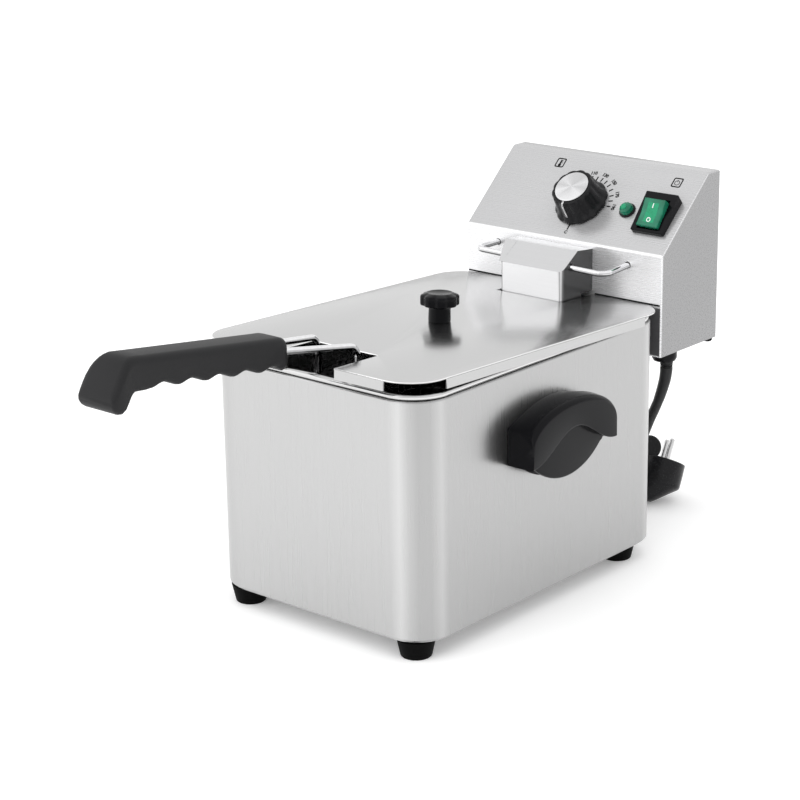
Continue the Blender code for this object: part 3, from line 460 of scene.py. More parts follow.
def loft(rings, closed=False):
    """Skins rings of equal length; closed joins the last ring to the first."""
    shape = bmesh.new()
    rows = [[shape.verts.new(point) for point in ring] for ring in rings]
    pairs = list(zip(rows, rows[1:] + rows[:1])) if closed else list(zip(rows, rows[1:]))
    for lower, upper in pairs:
        for index in range(len(lower)):
            following = (index + 1) % len(lower)
            shape.faces.new((lower[index], lower[following], upper[following], upper[index]))
    if not closed:
        shape.faces.new(rows[0])
        shape.faces.new(rows[-1])
    return shape


def stack(levels, width, depth, corner, middle_y=0, closed=False, steps=18):
    """Lofts rounded rectangles, each level being (how far inside the outline, height)."""
    rings = []
    for inset, height in levels:
        rounding = max(corner - inset, 0.002)
        outline = rounded_rectangle(width - 2 * inset, depth - 2 * inset, rounding, middle_y, steps)
        rings.append([(x, y, height) for x, y in outline])
    return loft(rings, closed)


def arc(centre, radius, start, end, steps=6):
    """Points on an arc in any plane of two coordinates, by its start and end angles in degrees."""
    points = []
    for step in range(steps + 1):
        angle = math.radians(start + (end - start) * step / steps)
        points.append((centre[0] + radius * math.cos(angle), centre[1] + radius * math.sin(angle)))
    return points


def box(low, high, place=None):
    shape = bmesh.new()
    bmesh.ops.create_cube(shape, size=1.0)
    size = [b - a for a, b in zip(low, high)]
    middle = [(a + b) / 2 for a, b in zip(low, high)]
    shape.transform(Matrix.Translation(middle) @ Matrix.Diagonal((*size, 1.0)))
    if place:
        shape.transform(place)
    return shape


def extruded(points, move):
    """Sweeps an outline of 3-D points along a straight move."""
    shape = bmesh.new()
    face = shape.faces.new([shape.verts.new(point) for point in points])
    sweep = bmesh.ops.extrude_face_region(shape, geom=[face])
    moved = [item for item in sweep["geom"] if isinstance(item, bmesh.types.BMVert)]
    bmesh.ops.translate(shape, verts=moved, vec=move)
    return shape


def side_prism(outline, low_x, high_x):
    return extruded([(low_x, y, z) for y, z in outline], (high_x - low_x, 0, 0))


def plan_prism(outline, low_z, high_z):
    return extruded([(x, y, low_z) for x, y in outline], (0, 0, high_z - low_z))


def stands_up(edge):
    """Whether an edge runs straight up."""
    first, second = (vert.co for vert in edge.verts)
    return abs(first.x - second.x) < 1e-6 and abs(first.y - second.y) < 1e-6


def bevel(shape, width, segments, chosen):
    """Rounds the edges that chosen(edge) picks."""
    edges = [edge for edge in shape.edges if chosen(edge)]
    bmesh.ops.bevel(shape, geom=edges, offset=width, segments=segments, profile=0.5, affect="EDGES")
    return shape


def turned(profile, place, steps=48, lobes=0, lobe_depth=0):
    """Turns a profile of (radius, height) about Z; lobes scallops its outer part by lobe_depth."""
    shape = bmesh.new()
    widest = max(radius for radius, _ in profile)
    points = [shape.verts.new((radius, 0, height)) for radius, height in profile]
    edges = [shape.edges.new(pair) for pair in zip(points, points[1:])]
    bmesh.ops.spin(shape, geom=points + edges, cent=(0, 0, 0), axis=(0, 0, 1), angle=math.tau, steps=steps)
    bmesh.ops.remove_doubles(shape, verts=shape.verts, dist=1e-6)
    for vert in shape.verts:
        radius = math.hypot(vert.co.x, vert.co.y)
        if lobes and radius > 0.7 * widest:
            wave = 0.5 - 0.5 * math.cos(lobes * math.atan2(vert.co.y, vert.co.x))
            vert.co.x *= 1 - wave**2 * lobe_depth / radius
            vert.co.y *= 1 - wave**2 * lobe_depth / radius
    shape.transform(place)
    return shape


def rod(start, end, radius, steps=24):
    start, end = Vector(start), Vector(end)
    turn = (end - start).to_track_quat("Z", "Y").to_matrix().to_4x4()
    length = (end - start).length
    profile = [(0, 0), (radius, 0), (radius, length), (0, length)]
    return turned(profile, Matrix.Translation(start) @ turn, steps)


def rounded_route(corners, bend, steps=10):
    """A path through the corners, each rounded to the bend's radius."""
    corners = [Vector(corner) for corner in corners]
    path = [corners[0]]
    for before, corner, after in zip(corners, corners[1:], corners[2:]):
        back = (before - corner).normalized()
        ahead = (after - corner).normalized()
        half = back.angle(ahead) / 2
        middle = corner + (back + ahead).normalized() * bend / math.sin(half)
        start = corner + back * bend / math.tan(half) - middle
        end = corner + ahead * bend / math.tan(half) - middle
        turn = start.angle(end)
        for step in range(steps + 1):
            part = turn * step / steps
            path.append(middle + (start * math.sin(turn - part) + end * math.sin(part)) / math.sin(turn))
    return path + [corners[-1]]


def smooth_route(points, spacing):
    """Catmull-Rom points through the route's own points, about evenly spaced."""
    points = [Vector(point) for point in points]
    padded = [2 * points[0] - points[1], *points, 2 * points[-1] - points[-2]]
    path = []
    for a, b, c, d in zip(padded, padded[1:], padded[2:], padded[3:]):
        steps = max(2, round((c - b).length / spacing))
        for step in range(steps):
            part = step / steps
            cubic = (3 * b - a - 3 * c + d) * part**3 + (2 * a - 5 * b + 4 * c - d) * part**2
            path.append(0.5 * (cubic + (c - a) * part + 2 * b))
    return path + [points[-1]]


def wires(name, paths, radius, body, finish, *nodes, resolution=5):
    """Round bars along one or more paths, as one curve object with closed ends."""
    data = bpy.data.curves.new(name, "CURVE")
    data.dimensions = "3D"
    data.bevel_depth = radius
    data.bevel_resolution = resolution
    data.use_fill_caps = True
    for path in paths:
        spline = data.splines.new("POLY")
        spline.points.add(len(path) - 1)
        for point, place in zip(spline.points, path):
            point.co = (*(CENTRE @ Vector(place)), 1.0)
        spline.use_smooth = True
    return add_piece(name, data, body, finish, *nodes)


# Cord and plug

def falling_route():
    """The lead's points from the gland, down behind the casing to the floor."""
    return [
        (CORD_X, GLAND_Y, GLAND_END), (CORD_X, GLAND_Y, 0.1465), (0.0806, 0.1948, 0.135),
        (0.0722, 0.1983, 0.114), (0.06, 0.203, 0.092), (0.047, 0.209, 0.068), (0.033, 0.216, 0.046),
        (0.017, 0.226, 0.026), (0, 0.243, 0.0125), (-0.019, 0.264, 0.006),
    ]


def coil_route():
    """The turns of the coil on the floor. They lie two beside two, each lane being (outwards, height)."""
    first = math.radians(62)
    last = math.radians(-52)
    lanes = [(-0.0045, 0.0048), (0.0046, 0.0048), (0.0046, 0.014), (-0.0045, 0.014)]
    sweep = math.tau * COIL_TURNS + (last - first)
    coil = []
    count = 20 * COIL_TURNS
    for step in range(count + 1):
        part = step / count
        lane = part * (len(lanes) - 1)
        index = min(int(lane), len(lanes) - 2)
        blend = min(max((lane - index - 0.35) / 0.3, 0), 1.0)
        blend = blend * blend * (3 - 2 * blend)
        shift, height = [a + (b - a) * blend for a, b in zip(lanes[index], lanes[index + 1])]
        angle = first + sweep * part
        radius = COIL_RADIUS + shift
        coil.append((COIL_X + radius * math.cos(angle), COIL_Y + radius * math.sin(angle), height))
    return coil


def plug_frame():
    """The plug's own axes: across its pins, towards its back, and along its pins."""
    across = REARWARD.cross(PLUG_AXIS).normalized()
    back = PLUG_AXIS.cross(across)
    turn = Matrix((across, back, PLUG_AXIS)).transposed().to_4x4()
    return Matrix.Translation(PLUG_FACE) @ turn


def make_cord():
    """The lead: free fall from the gland, four flat turns on the floor, then up into the plug's boot."""
    place = plug_frame()
    outlet = place @ at(0, 0, -0.015) @ Matrix.Rotation(math.radians(-90), 4, "Y")
    boot_end = outlet @ Vector((0, 0, BOOT_LENGTH))
    away = (outlet.to_3x3() @ Vector((0, 0, 1.0))).normalized()
    rising = [(-0.008, 0.2155, 0.029), boot_end + 0.012 * away, boot_end]
    path = smooth_route(falling_route() + coil_route() + rising, 0.006)
    cord = wires("mains_cord", [path], CORD_RADIUS, "head", "sleeve", "power_cord", "cord_coil", "cord_tail")
    relief = strain_relief(path)
    plug = make_plug(place, outlet)


def strain_relief(path):
    """A tapered sleeve round the cord, under the gland, that thins down to the cord's own size."""
    rings = []
    reach = 0
    fine = smooth_route(path[:14], 0.0015)
    angles = [math.tau * step / 28 for step in range(28)]
    for index, point in enumerate(fine[:-1]):
        if index:
            reach += (point - fine[index - 1]).length
        if reach > RELIEF_LENGTH:
            break
        turn = (fine[index + 1] - point).to_track_quat("Z", "Y").to_matrix()
        radius = 0.0054 - 0.00105 * reach / RELIEF_LENGTH
        rings.append([point + turn @ Vector((radius * math.cos(a), radius * math.sin(a), 0)) for a in angles])
    return piece("strain_relief", loft(rings), "head", "sleeve")


def make_plug(place, outlet):
    """Round angled plug, face up: straight rim, slanting back, a finger tab, a boot and earth springs."""
    levels = [(0.0178, 0), (0.0187, -0.0004), (0.019, -0.0012), (0.0194, -0.012), (0.0195, -0.0205),
              (0.0192, -0.0216), (0.0184, -0.0228), (0.014, -0.03), (0.01, -0.037), (0.0085, -0.0392),
              (0.006, -0.04)]
    rings = []
    angles = [math.tau * step / 64 for step in range(64)]
    for radius, height in levels:
        lean = min(0, radius - 0.0184)
        rings.append([(lean + radius * math.cos(a), radius * math.sin(a), height) for a in angles])
    body = loft(rings)
    body.transform(place)
    boot = [(0, 0), (0.0108, 0), (0.0106, 0.012), (0.01, 0.018), (0.0086, 0.022), (0.007, 0.026),
            (0.0064, 0.03), (0.0059, 0.0378), (0, 0.0379)]
    across = Matrix.Rotation(math.radians(90), 4, "X")
    tab = [(0, -0.0065), (0.0095, -0.0065), (0.0105, -0.0055), (0.0105, 0.0055), (0.0095, 0.0065), (0, 0.0065)]
    tab = turned(tab, place @ at(-0.017, 0, 0.0062) @ across, 48)
    notches = [box((x - 0.004, -0.003, -0.0135), (x + 0.004, 0.003, 0.004), place) for x in (-0.0178, 0.0178)]
    whole = joined(carved(body, *notches), turned(boot, outlet, 40), tab)
    plug = piece("plug_shell", whole, "head", "gloss", "plug_body")
    springs = [box((x - 0.0005, -0.0022, -0.012), (x + 0.0005, 0.0022, 0.0004), place) for x in (-0.0152, 0.0152)]
    earth = piece("plug_earth_springs", joined(*springs), "head", "disc")
    pins = []
    pin = [(0, -0.005), (0.0024, -0.005), (0.0024, 0.0165), (0.0021, 0.018), (0.0012, 0.0189), (0, 0.019)]
    for side, label in ((-1, "near"), (1, "far")):
        shape = turned(pin, place @ at(0, side * 0.0095, 0), 24)
        pins.append(piece("plug_prong_" + label, shape, "head", "fixing", "plug_pin_" + label))
    return [plug, earth, *pins]


# Casing, feet, handles and pan

def make_casing():
    levels = [(0.006, CASING_BOTTOM), (0.0022, CASING_BOTTOM)]
    levels += [(0.0022 - x, CASING_BOTTOM + 0.0022 + z) for x, z in arc((0, 0), 0.0022, -90, 0, 5)]
    levels += [(0.0014 - x, CASING_TOP - 0.0014 + z) for x, z in arc((0, 0), 0.0014, 0, 90, 5)]
    levels += [(0.006, CASING_TOP), (0.006, CASING_TOP - 0.001), (0.0012, CASING_TOP - 0.0015),
               (0.0012, CASING_BOTTOM + 0.0022), (0.006, CASING_BOTTOM + 0.001)]
    shape = stack(levels, CASING_WIDTH, CASING_DEPTH, CASING_CORNER, closed=True, steps=24)
    piece("casing_shell", shape, "casing", "casing", "outer_casing")


def make_feet():
    foot = [(0.0024, 0.006), (0.0052, 0.006), (0.0052, 0.0004), (0.0058, 0), (0.0112, 0), (0.012, 0.0008),
            (0.0148, 0.0135), (0.015, 0.0143), (0.0144, 0.0149), (0.0024, 0.0149), (0.0024, 0.006)]
    for end, y in (("front", FOOT_FRONT_Y), ("rear", FOOT_REAR_Y)):
        for side, x in (("left", -FOOT_X), ("right", FOOT_X)):
            label = f"{end}_{side}"
            piece("rubber_foot_" + label, turned(foot, at(x, y, 0), 56), "casing", "rubber", "foot_" + label)


def handle_section(y):
    """The right handle's section at y: an apron down the wall under a hood that reaches further out."""
    along = y / HANDLE_HALF_LENGTH
    inner = CASING_WIDTH / 2 + GAP
    outer = CASING_WIDTH / 2 + HANDLE_REACH
    apron = CASING_WIDTH / 2 + APRON_REACH
    ledge = 0.161 + 0.014 * math.cos(math.pi / 2 * along)
    brow = 0.152 + 0.0235 * math.sqrt(max(0, 1 - along**2))
    lip = 0.1432 + 0.0107 * math.cos(math.pi * along)
    foot = min(APRON_MIDDLE - math.sqrt(APRON_RADIUS**2 - y**2), lip - 0.0008)
    section = [(inner, foot), (apron - 0.0018, foot)]
    if lip - foot > 0.004:
        section += arc((apron - 0.0018, foot + 0.0018), 0.0018, -80, 0, 4)
    else:
        section += [(apron, foot + 0.0003 + (lip - foot) * rise / 70) for rise in (0, 3, 4, 5, 6)]
    section += [(apron, lip), (outer - 0.0012, lip)]
    section += arc((outer - 0.0012, lip + 0.0012), 0.0012, -70, 0, 3)
    section += arc((outer - 0.005, brow - 0.005), 0.005, 0, 90, 7)
    section += [((inner + outer) / 2, (brow + ledge) / 2 + 0.0015), (inner, ledge)]
    return section


def make_side_handles():
    """Moulded grips on both walls, each with a hollow for the fingers behind its apron."""
    count = 30
    stations = [HANDLE_HALF_LENGTH * math.sin(math.pi / 2 * step / count) for step in range(-count, count + 1)]
    near, far = CASING_WIDTH / 2 + 0.003, CASING_WIDTH / 2 + APRON_REACH - 0.0035
    for side, label in ((1, "right"), (-1, "left")):
        rings = [[(side * x, y, z) for x, z in handle_section(y)] for y in stations]
        pocket = []
        for step in range(-12, 13):
            y = 0.04 * math.sin(math.pi / 2 * step / 12)
            roof = 0.13 + 0.012 * math.sqrt(1 - (y / 0.044) ** 2)
            section = ((near, 0.1), (far, 0.1), (far, roof - 0.002), (far - 0.002, roof), (near, roof))
            pocket.append([(side * x, y, z) for x, z in section])
        shape = carved(loft(rings), loft(pocket))
        grip = piece("grab_handle_" + label, shape, "casing", "plastic", "side_handle_" + label, sharp=40)


def make_pan():
    wall = PAN_WALL + 0.0008
    levels = [(0.03, PAN_BOTTOM), (0.015, PAN_BOTTOM), (0.01, PAN_BOTTOM + 0.002),
              (PAN_WALL, PAN_BOTTOM + 0.007), (PAN_WALL, PAN_TOP - 0.0046), (0.002, PAN_TOP - 0.0046)]
    levels += [(0.0023 - x, PAN_TOP - 0.0023 + z) for x, z in arc((0, 0), 0.0023, -80, 90, 9)]
    levels += [(0.006, PAN_TOP - 0.0002), (0.0076, PAN_TOP - 0.0012), (wall, PAN_TOP - 0.0034),
               (wall, PAN_BOTTOM + 0.0075), (0.0106, PAN_BOTTOM + 0.0028), (0.0154, PAN_BOTTOM + 0.0008),
               (0.03, PAN_BOTTOM + 0.0008)]
    shape = stack(levels, 0.2164, 0.3044, 0.032)
    piece("oil_tank", shape, "pan", "pan", "oil_pan", sharp=50)


# Lid

def lid_outline():
    right, front, rear = LID_HALF_WIDTH, LID_FRONT, LID_REAR
    corner = rounded_rectangle(2 * right, rear - front, LID_CORNER, (rear + front) / 2, 16)
    rear_right, rear_left, front_left, front_right = (corner[17 * k : 17 * k + 17] for k in range(4))
    notch = [(-LID_FRONT_NOTCH, front), *arc((-0.03, -0.1127), 0.003, 180, 90, 5)]
    notch += [*arc((0.03, -0.1127), 0.003, 90, 0, 5), (LID_FRONT_NOTCH, front)]
    rear_notch = [(LID_REAR_NOTCH, rear), (LID_REAR_NOTCH, LID_NOTCH_END), (-LID_REAR_NOTCH, LID_NOTCH_END),
                  (-LID_REAR_NOTCH, rear)]
    return rear_right + rear_notch + rear_left + front_left + notch + front_right


def make_lid():
    plate = plan_prism(lid_outline(), -LID_SHEET, 0)
    bevel(plate, 0.0007, 3, lambda edge: all(abs(vert.co.z) < 1e-6 for vert in edge.verts))
    low, high = -LID_SHEET - LID_SKIRT, -0.0008
    inner = LID_HALF_WIDTH - LID_SHEET
    notch, front_end, side_end = LID_FRONT_NOTCH + 0.0005, LID_FRONT_SKIRT_END, LID_SIDE_SKIRT_END
    skirts = [
        box((notch, LID_FRONT, low), (front_end, LID_FRONT + LID_SHEET, high)),
        box((-front_end, LID_FRONT, low), (-notch, LID_FRONT + LID_SHEET, high)),
        box((inner, -side_end, low), (LID_HALF_WIDTH, side_end, high)),
        box((-LID_HALF_WIDTH, -side_end, low), (-inner, side_end, high)),
    ]
    shape = joined(plate, *skirts)
    shape.transform(LID)
    piece("lid_sheet", shape, "lid", "lid", "lid_panel")
    knob = [(0, 0.0003), (0.0086, 0.0003), (0.0089, 0.001), (0.0087, 0.01)]
    knob += arc((0.0117, 0.01), 0.003, 180, 95, 5)
    knob += [(0.0146, 0.0134), (0.0152, 0.0139), (0.0154, 0.0148), (0.0154, 0.02)]
    knob += arc((0.0136, 0.02), 0.0018, 0, 75, 4)
    knob += [(0.0103, 0.0231), (0.0096, 0.0232), (0.0086, 0.0229), (0, 0.0223)]
    top = piece("lid_knob_cap", turned(knob, LID, 96, 8, 0.0016), "lid", "plastic", "lid_knob")


# Basket

def basket_wall(y, x, inset):
    """How far a basket wire may run towards a wall before the rounded corner takes over."""
    corner = 0.024
    excess = max(0, abs(x) - (y - corner))
    return inset - corner + math.sqrt(max(corner**2 - excess**2, 0))


def make_basket():
    """Crossing wires bent up at the walls, level hoops, a thicker top wire and the grip's two rods."""
    half_x, middle = BASKET_HALF_WIDTH - 0.001, (BASKET_FRONT + BASKET_REAR) / 2
    half_y = (BASKET_REAR - BASKET_FRONT) / 2 - 0.001
    low, high, bend = BASKET_BOTTOM + 0.0012, BASKET_TOP + 0.0005, 0.006
    paths = []

    def bent_wire(start, end, level):
        corners = [(*start, high), (*start, level), (*end, level), (*end, high)]
        paths.append(rounded_route(corners, bend, 3))

    for number in range(23):
        x = half_x * (number - 11) / 11.5
        reach = basket_wall(half_x, x, half_y)
        bent_wire((x, middle - reach), (x, middle + reach), low)
    for number in range(27):
        y = half_y * (number - 13) / 13.5
        reach = basket_wall(half_y, y, half_x)
        bent_wire((-reach, middle + y), (reach, middle + y), low + 0.0011)
    wires("basket_mesh", paths, 0.0006, "basket", "wire", "basket_body", resolution=1)
    hoops = []
    for number in range(13):
        z = low + 0.0075 + number * (high - low - 0.0075) / 13
        outline = rounded_rectangle(2 * half_x + 0.0011, 2 * half_y + 0.0011, 0.0245, middle, 6)
        hoops.append([(x, y, z) for x, y in outline + outline[:1]])
    wires("basket_hoops", hoops, 0.0006, "basket", "wire", resolution=1)
    ring = [(0.0006 + x, BASKET_TOP + 0.0023 + z) for x, z in arc((0, 0), 0.002, 0, 337.5, 15)]
    shape = stack(ring, 2 * BASKET_HALF_WIDTH, BASKET_REAR - BASKET_FRONT, 0.024, middle, closed=True, steps=12)
    piece("basket_top_wire", shape, "basket", "wire", "basket_rim")
    for side, label in ((1, "right"), (-1, "left")):
        corners = [(side * 0.0108, -0.2, 0.2368), (side * 0.0203, -0.12, 0.2246), (side * 0.0203, -0.12, 0.12)]
        path = rounded_route(corners, 0.008)
        wires("grip_rod_" + label, [path], ROD_RADIUS, "basket", "wire", "handle_rod_" + label)


def grip_stations():
    """The grip's sections as (y, lowest, highest, half width), from its root to its tip, wavy below."""
    stations = [(-0.1862, 0.2275, 0.2385, 0.0112), (-0.1868, 0.225, 0.242, 0.0132),
                (-0.1885, 0.2228, 0.2448, 0.0146), (-0.1924, 0.2215, 0.246, 0.015)]
    for step in range(56):
        y = -0.1995 - 0.0022 * step
        along = -0.2149 - y
        bump = 0.0017 * math.cos(math.tau * along / 0.0264)
        stations.append((y, 0.2267 + 0.1365 * along - bump, 0.2461 + 0.134 * (-0.1936 - y), GRIP_HALF_WIDTH))
    stations += [(-0.324, 0.2393, 0.2636, 0.015), (-0.3347, 0.2404, 0.265, 0.0152),
                 (-0.338, 0.2393, 0.2642, 0.016), (-0.341, 0.2372, 0.2628, 0.0169),
                 (-0.344, 0.234, 0.2606, 0.0178), (-0.347, 0.2308, 0.2578, 0.0184),
                 (-0.3505, 0.2292, 0.2537, 0.0188), (-0.354, 0.2298, 0.2484, 0.0189),
                 (-0.3568, 0.2318, 0.244, 0.0184), (-0.3582, 0.234, 0.2412, 0.0175),
                 (-0.3587, 0.236, 0.2392, 0.0165)]
    return stations


def make_grip():
    rings = []
    for y, low, high, half in grip_stations():
        top, foot = min(0.0062, (high - low) * 0.45), min(0.0035, (high - low) * 0.3)
        outline = arc((half - top, high - top), top, 0, 90, 6) + arc((-half + top, high - top), top, 90, 180, 6)
        outline += arc((-half + foot, low + foot), foot, 180, 270, 4)
        outline += arc((half - foot, low + foot), foot, 270, 360, 4)
        rings.append([(x, y, z) for x, z in outline])
    grip = piece("finger_grip", loft(rings), "basket", "grip", "handle_grip", sharp=50)


# Control head

def make_head():
    """The bent housing, hollow from below and behind, with openings for what passes through it."""
    outline = [(HEAD_FRONT, HEAD_BOTTOM), (HEAD_FRONT, HEAD_FOLD), (HEAD_RIDGE, HEAD_TOP),
               (HEAD_REAR, HEAD_TOP), (HEAD_REAR, HEAD_BOTTOM)]
    blank = side_prism(outline, -HEAD_HALF_WIDTH, HEAD_HALF_WIDTH)

    def rounded(edge):
        heights = [vert.co.z for vert in edge.verts]
        at_front = max(vert.co.y for vert in edge.verts) < HEAD_FRONT + 0.001
        return min(heights) > HEAD_BOTTOM + 0.001 or (at_front and abs(heights[0] - heights[1]) > 0.05)

    bevel(blank, 0.0018, 5, rounded)
    slope = math.tan(PANEL_ANGLE)
    front, rear = HEAD_FRONT + SHEET, HEAD_REAR + 0.01
    fold = HEAD_FOLD - SHEET / math.cos(PANEL_ANGLE) + slope * SHEET
    ridge = front + (HEAD_TOP - SHEET - fold) / slope
    inside = [(front, 0.15), (front, fold), (ridge, HEAD_TOP - SHEET), (rear, HEAD_TOP - SHEET), (rear, 0.15)]
    hollow = side_prism(inside, -HEAD_HALF_WIDTH + SHEET, HEAD_HALF_WIDTH - SHEET)
    shell = carved(blank, hollow)
    openings = [
        box((-0.024, HEAD_FRONT - 0.003, 0.216), (0.024, HEAD_FRONT + 0.004, 0.236)),
        box((SWITCH_X - 0.0132, 0.0203, -0.006), (SWITCH_X + 0.0132, 0.052, 0.006), PANEL),
    ]
    for radius, place in ((0.0058, on_panel(0, DIAL_UP)), (0.0053, on_panel(LAMP_X, LAMP_UP))):
        openings.append(turned([(0, -0.006), (radius, -0.006), (radius, 0.006), (0, 0.006)], place, 32))
    for x in (-RAIL_X, RAIL_X):
        openings.append(rod((x, HEAD_FRONT - 0.003, RAIL_Z), (x, HEAD_FRONT + 0.004, RAIL_Z), 0.0029))
    piece("head_shell", carved(shell, *openings), "head", "head", "head_housing")


def make_bridge():
    """The cover over the element's legs: it rises from the pan, through the lid, to the control head."""
    rear = HEAD_FRONT - GAP
    outline = [(BRIDGE_FRONT, 0.1), (BRIDGE_FRONT, 0.2343), (0.137, 0.2482), (rear, 0.2462), (rear, 0.211),
               (0.1424, 0.211), (0.1424, 0.1)]
    inner = [(BRIDGE_FRONT + SHEET, 0.09), (BRIDGE_FRONT + SHEET, 0.2336), (0.1373, 0.247), (0.165, 0.2444),
             (0.165, 0.205), (0.1412, 0.205), (0.1412, 0.09)]
    shapes = []
    for points, half, radius in ((outline, BRIDGE_HALF_WIDTH, 0.004),
                                 (inner, BRIDGE_HALF_WIDTH - SHEET, 0.0028)):
        shape = side_prism(points, -half, half)
        front = min(vert.co.y for vert in shape.verts)
        bevel(shape, radius, 6, lambda edge: max(vert.co.y for vert in edge.verts) < front + 1e-5
              and abs(edge.verts[0].co.z - edge.verts[1].co.z) > 0.05)
        shapes.append(shape)
    cover = carved(shapes[0], shapes[1])
    cover = carved(cover, rod((-0.05, RAIL_Y, RAIL_Z), (0.05, RAIL_Y - 0.001, RAIL_Z - 0.001), 0.0029))
    wing = [(-0.033, BRIDGE_FRONT, 0.2343), (-0.0425, 0.1368, 0.2482), (-0.0425, rear, 0.2462),
            (-0.03, rear, 0.2462), (-0.03, 0.1368, 0.2482), (-0.03, BRIDGE_FRONT, 0.2343)]
    ends = bmesh.new()
    upper = [ends.verts.new(point) for point in wing]
    lower = [ends.verts.new((x, y, z - 0.0009)) for x, y, z in wing]
    for a, b, c, d in ((0, 1, 4, 5), (1, 2, 3, 4)):
        ends.faces.new((upper[a], upper[b], upper[c], upper[d]))
        ends.faces.new((lower[d], lower[c], lower[b], lower[a]))
    for index in range(len(wing)):
        following = (index + 1) % len(wing)
        ends.faces.new((upper[following], upper[index], lower[index], lower[following]))
    cover = joined(cover, ends)
    piece("bridge_shell", cover, "head", "bridge", "bridge_cover")
    corners = [(RAIL_X, 0.166, RAIL_Z), (RAIL_X, RAIL_Y - 0.0028, RAIL_Z - 0.002), (-RAIL_X, RAIL_Y, RAIL_Z),
               (-RAIL_X, 0.166, RAIL_Z)]
    rail = wires("hanging_rail", [rounded_route(corners, 0.0075)], RAIL_RADIUS, "head", "wire", "drain_rail")


def make_seam():
    """The dark joint where the lid's rear edge meets the head, and below it dark sheets of painted shade over the
    shadowed gap between casing and head.
    """
    sheets = (("rear_seam", "rubber", 0.2078, 0.209, ((-0.099, -0.044), (0.0345, 0.099))),
              # The second strips are painted shade: dark sheets where the gap between casing and head lies in
              # shadow.
              ("gap_shade_sheet", "dark", 0.1662, 0.206, ((-0.0995, -0.036), (0.036, 0.0995))))
    for name, finish, low, high, spans in sheets:
        strips = [box((left, HEAD_FRONT - GAP, low), (right, HEAD_FRONT, high)) for left, right in spans]
        piece(name, joined(*strips), "head", finish)


def make_dial():
    """Fluted skirted knob with a turned disc on top and a white pointer down its side."""
    place = on_panel(0, DIAL_UP)
    knob = [(0, 0.0008), (0.0222, 0.0006), (0.0231, 0.0008), (0.0235, 0.0016), (0.0233, 0.0028),
            (0.0222, 0.0044), (0.0211, 0.006), (0.0203, 0.009), (0.0196, 0.013), (0.0189, 0.0175),
            (0.0184, 0.0206), (0.018, 0.0215), (0.0172, 0.022), (0.0157, 0.022), (0.0153, 0.0208),
            (0, 0.0208)]
    top = piece("dial_knob", turned(knob, place, 120, 12, 0.0008), "dial", "gloss", "thermostat_knob", sharp=30)
    cap = [(0, 0.0209), (0.0149, 0.0209), (0.0149, 0.0224), (0.0145, 0.0228), (0.0139, 0.023), (0, 0.023)]
    piece("dial_disc", turned(cap, place, 64), "dial", "disc", "thermostat_knob_cap")
    line = [(-0.015, 0.0223), (-0.0181, 0.0219), (-0.0192, 0.02), (-0.0212, 0.008)]
    shape = bmesh.new()
    rows = [[shape.verts.new((x, y, z)) for x in (-0.0009, 0.0009)] for y, z in line]
    for (left, right), (next_left, next_right) in zip(rows, rows[1:]):
        shape.faces.new((left, right, next_right, next_left))
    bmesh.ops.solidify(shape, geom=list(shape.faces), thickness=0.0006)
    shape.transform(place)
    piece("dial_pointer", shape, "dial", "paint")


def flat_text(name, words, size, place):
    """A figure or letter printed on the head."""
    data = bpy.data.curves.new(name, "FONT")
    data.body = words
    data.size = size
    data.align_x = data.align_y = "CENTER"
    data.extrude = 0.00003
    data.offset = 0.0002
    label = place_object(name, data)
    label.matrix_world = CENTRE @ place @ at(0, 0, 0.00005)
    data.materials.append(materials["ink"])
    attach(label, "head")


def round_dial(degrees):
    """A place at the dial's middle, turned clockwise from straight up."""
    return on_panel(0, DIAL_UP) @ Matrix.Rotation(-math.radians(degrees), 4, "Z")


def make_print():
    """Ticks and figures round the dial."""
    ticks = []
    marks = [(degrees, 0.0245, 0.0284) for degrees in (-8.5, 2.5, 13.5, 25.0, 37.0, 50.0, 64.0, 76.0, 88.0)]
    for degrees, inner, outer in [*marks, (180.0, 0.0225, 0.028)]:
        ticks.append(box((-0.0006, inner, 0), (0.0006, outer, PRINT), round_dial(degrees)))
    piece("dial_ticks", joined(*ticks), "head", "ink")
    for words, degrees in (("110", -8.5), ("130", 13.5), ("150", 37.0), ("170", 64.0), ("190", 88.0)):
        flat_text("figure_" + words, words, 0.0043, round_dial(degrees) @ at(0, 0.0315, 0))
    flat_text("figure_unit", "C", 0.004, on_panel(0, 0.0072))


def make_signs():
    """Two framed signs: a thermometer on the left, a power ring on the right."""
    frames = []
    for x, up in ((SIGN_LEFT_X, 0.0745), (SIGN_RIGHT_X, 0.072)):
        outer = plan_prism(rounded_rectangle(0.0092, 0.0096, 0.0016, 0, 5), 0, PRINT)
        inner = plan_prism(rounded_rectangle(0.007, 0.0074, 0.0009, 0, 5), -0.001, 0.001)
        sign = carved(outer, inner)
        sign.transform(on_panel(x, up))
        frames.append(sign)
    ring = [(0.0019, 0), (0.0025, 0), (0.0025, PRINT), (0.0019, PRINT), (0.0019, 0)]
    gap = box((-0.0007, 0.0005, -0.001), (0.0007, 0.004, 0.001))
    power = carved(turned(ring, Matrix(), 40), gap)
    right, left = on_panel(SIGN_RIGHT_X, 0.0718), on_panel(SIGN_LEFT_X, 0.0722)
    power.transform(right)
    frames += [power, box((-0.0003, 0.0008, 0), (0.0003, 0.003, PRINT), right)]
    frames.append(turned([(0, 0), (0.0015, 0), (0.0015, PRINT), (0, PRINT)], left, 24))
    frames.append(box((-0.0008, 0, 0), (0.0008, 0.0052, PRINT), left))
    frames += [box((0.0009, up, 0), (0.0021, up + 0.0004, PRINT), left) for up in (0.002, 0.0032, 0.0044)]
    piece("panel_signs", joined(*frames), "head", "ink")


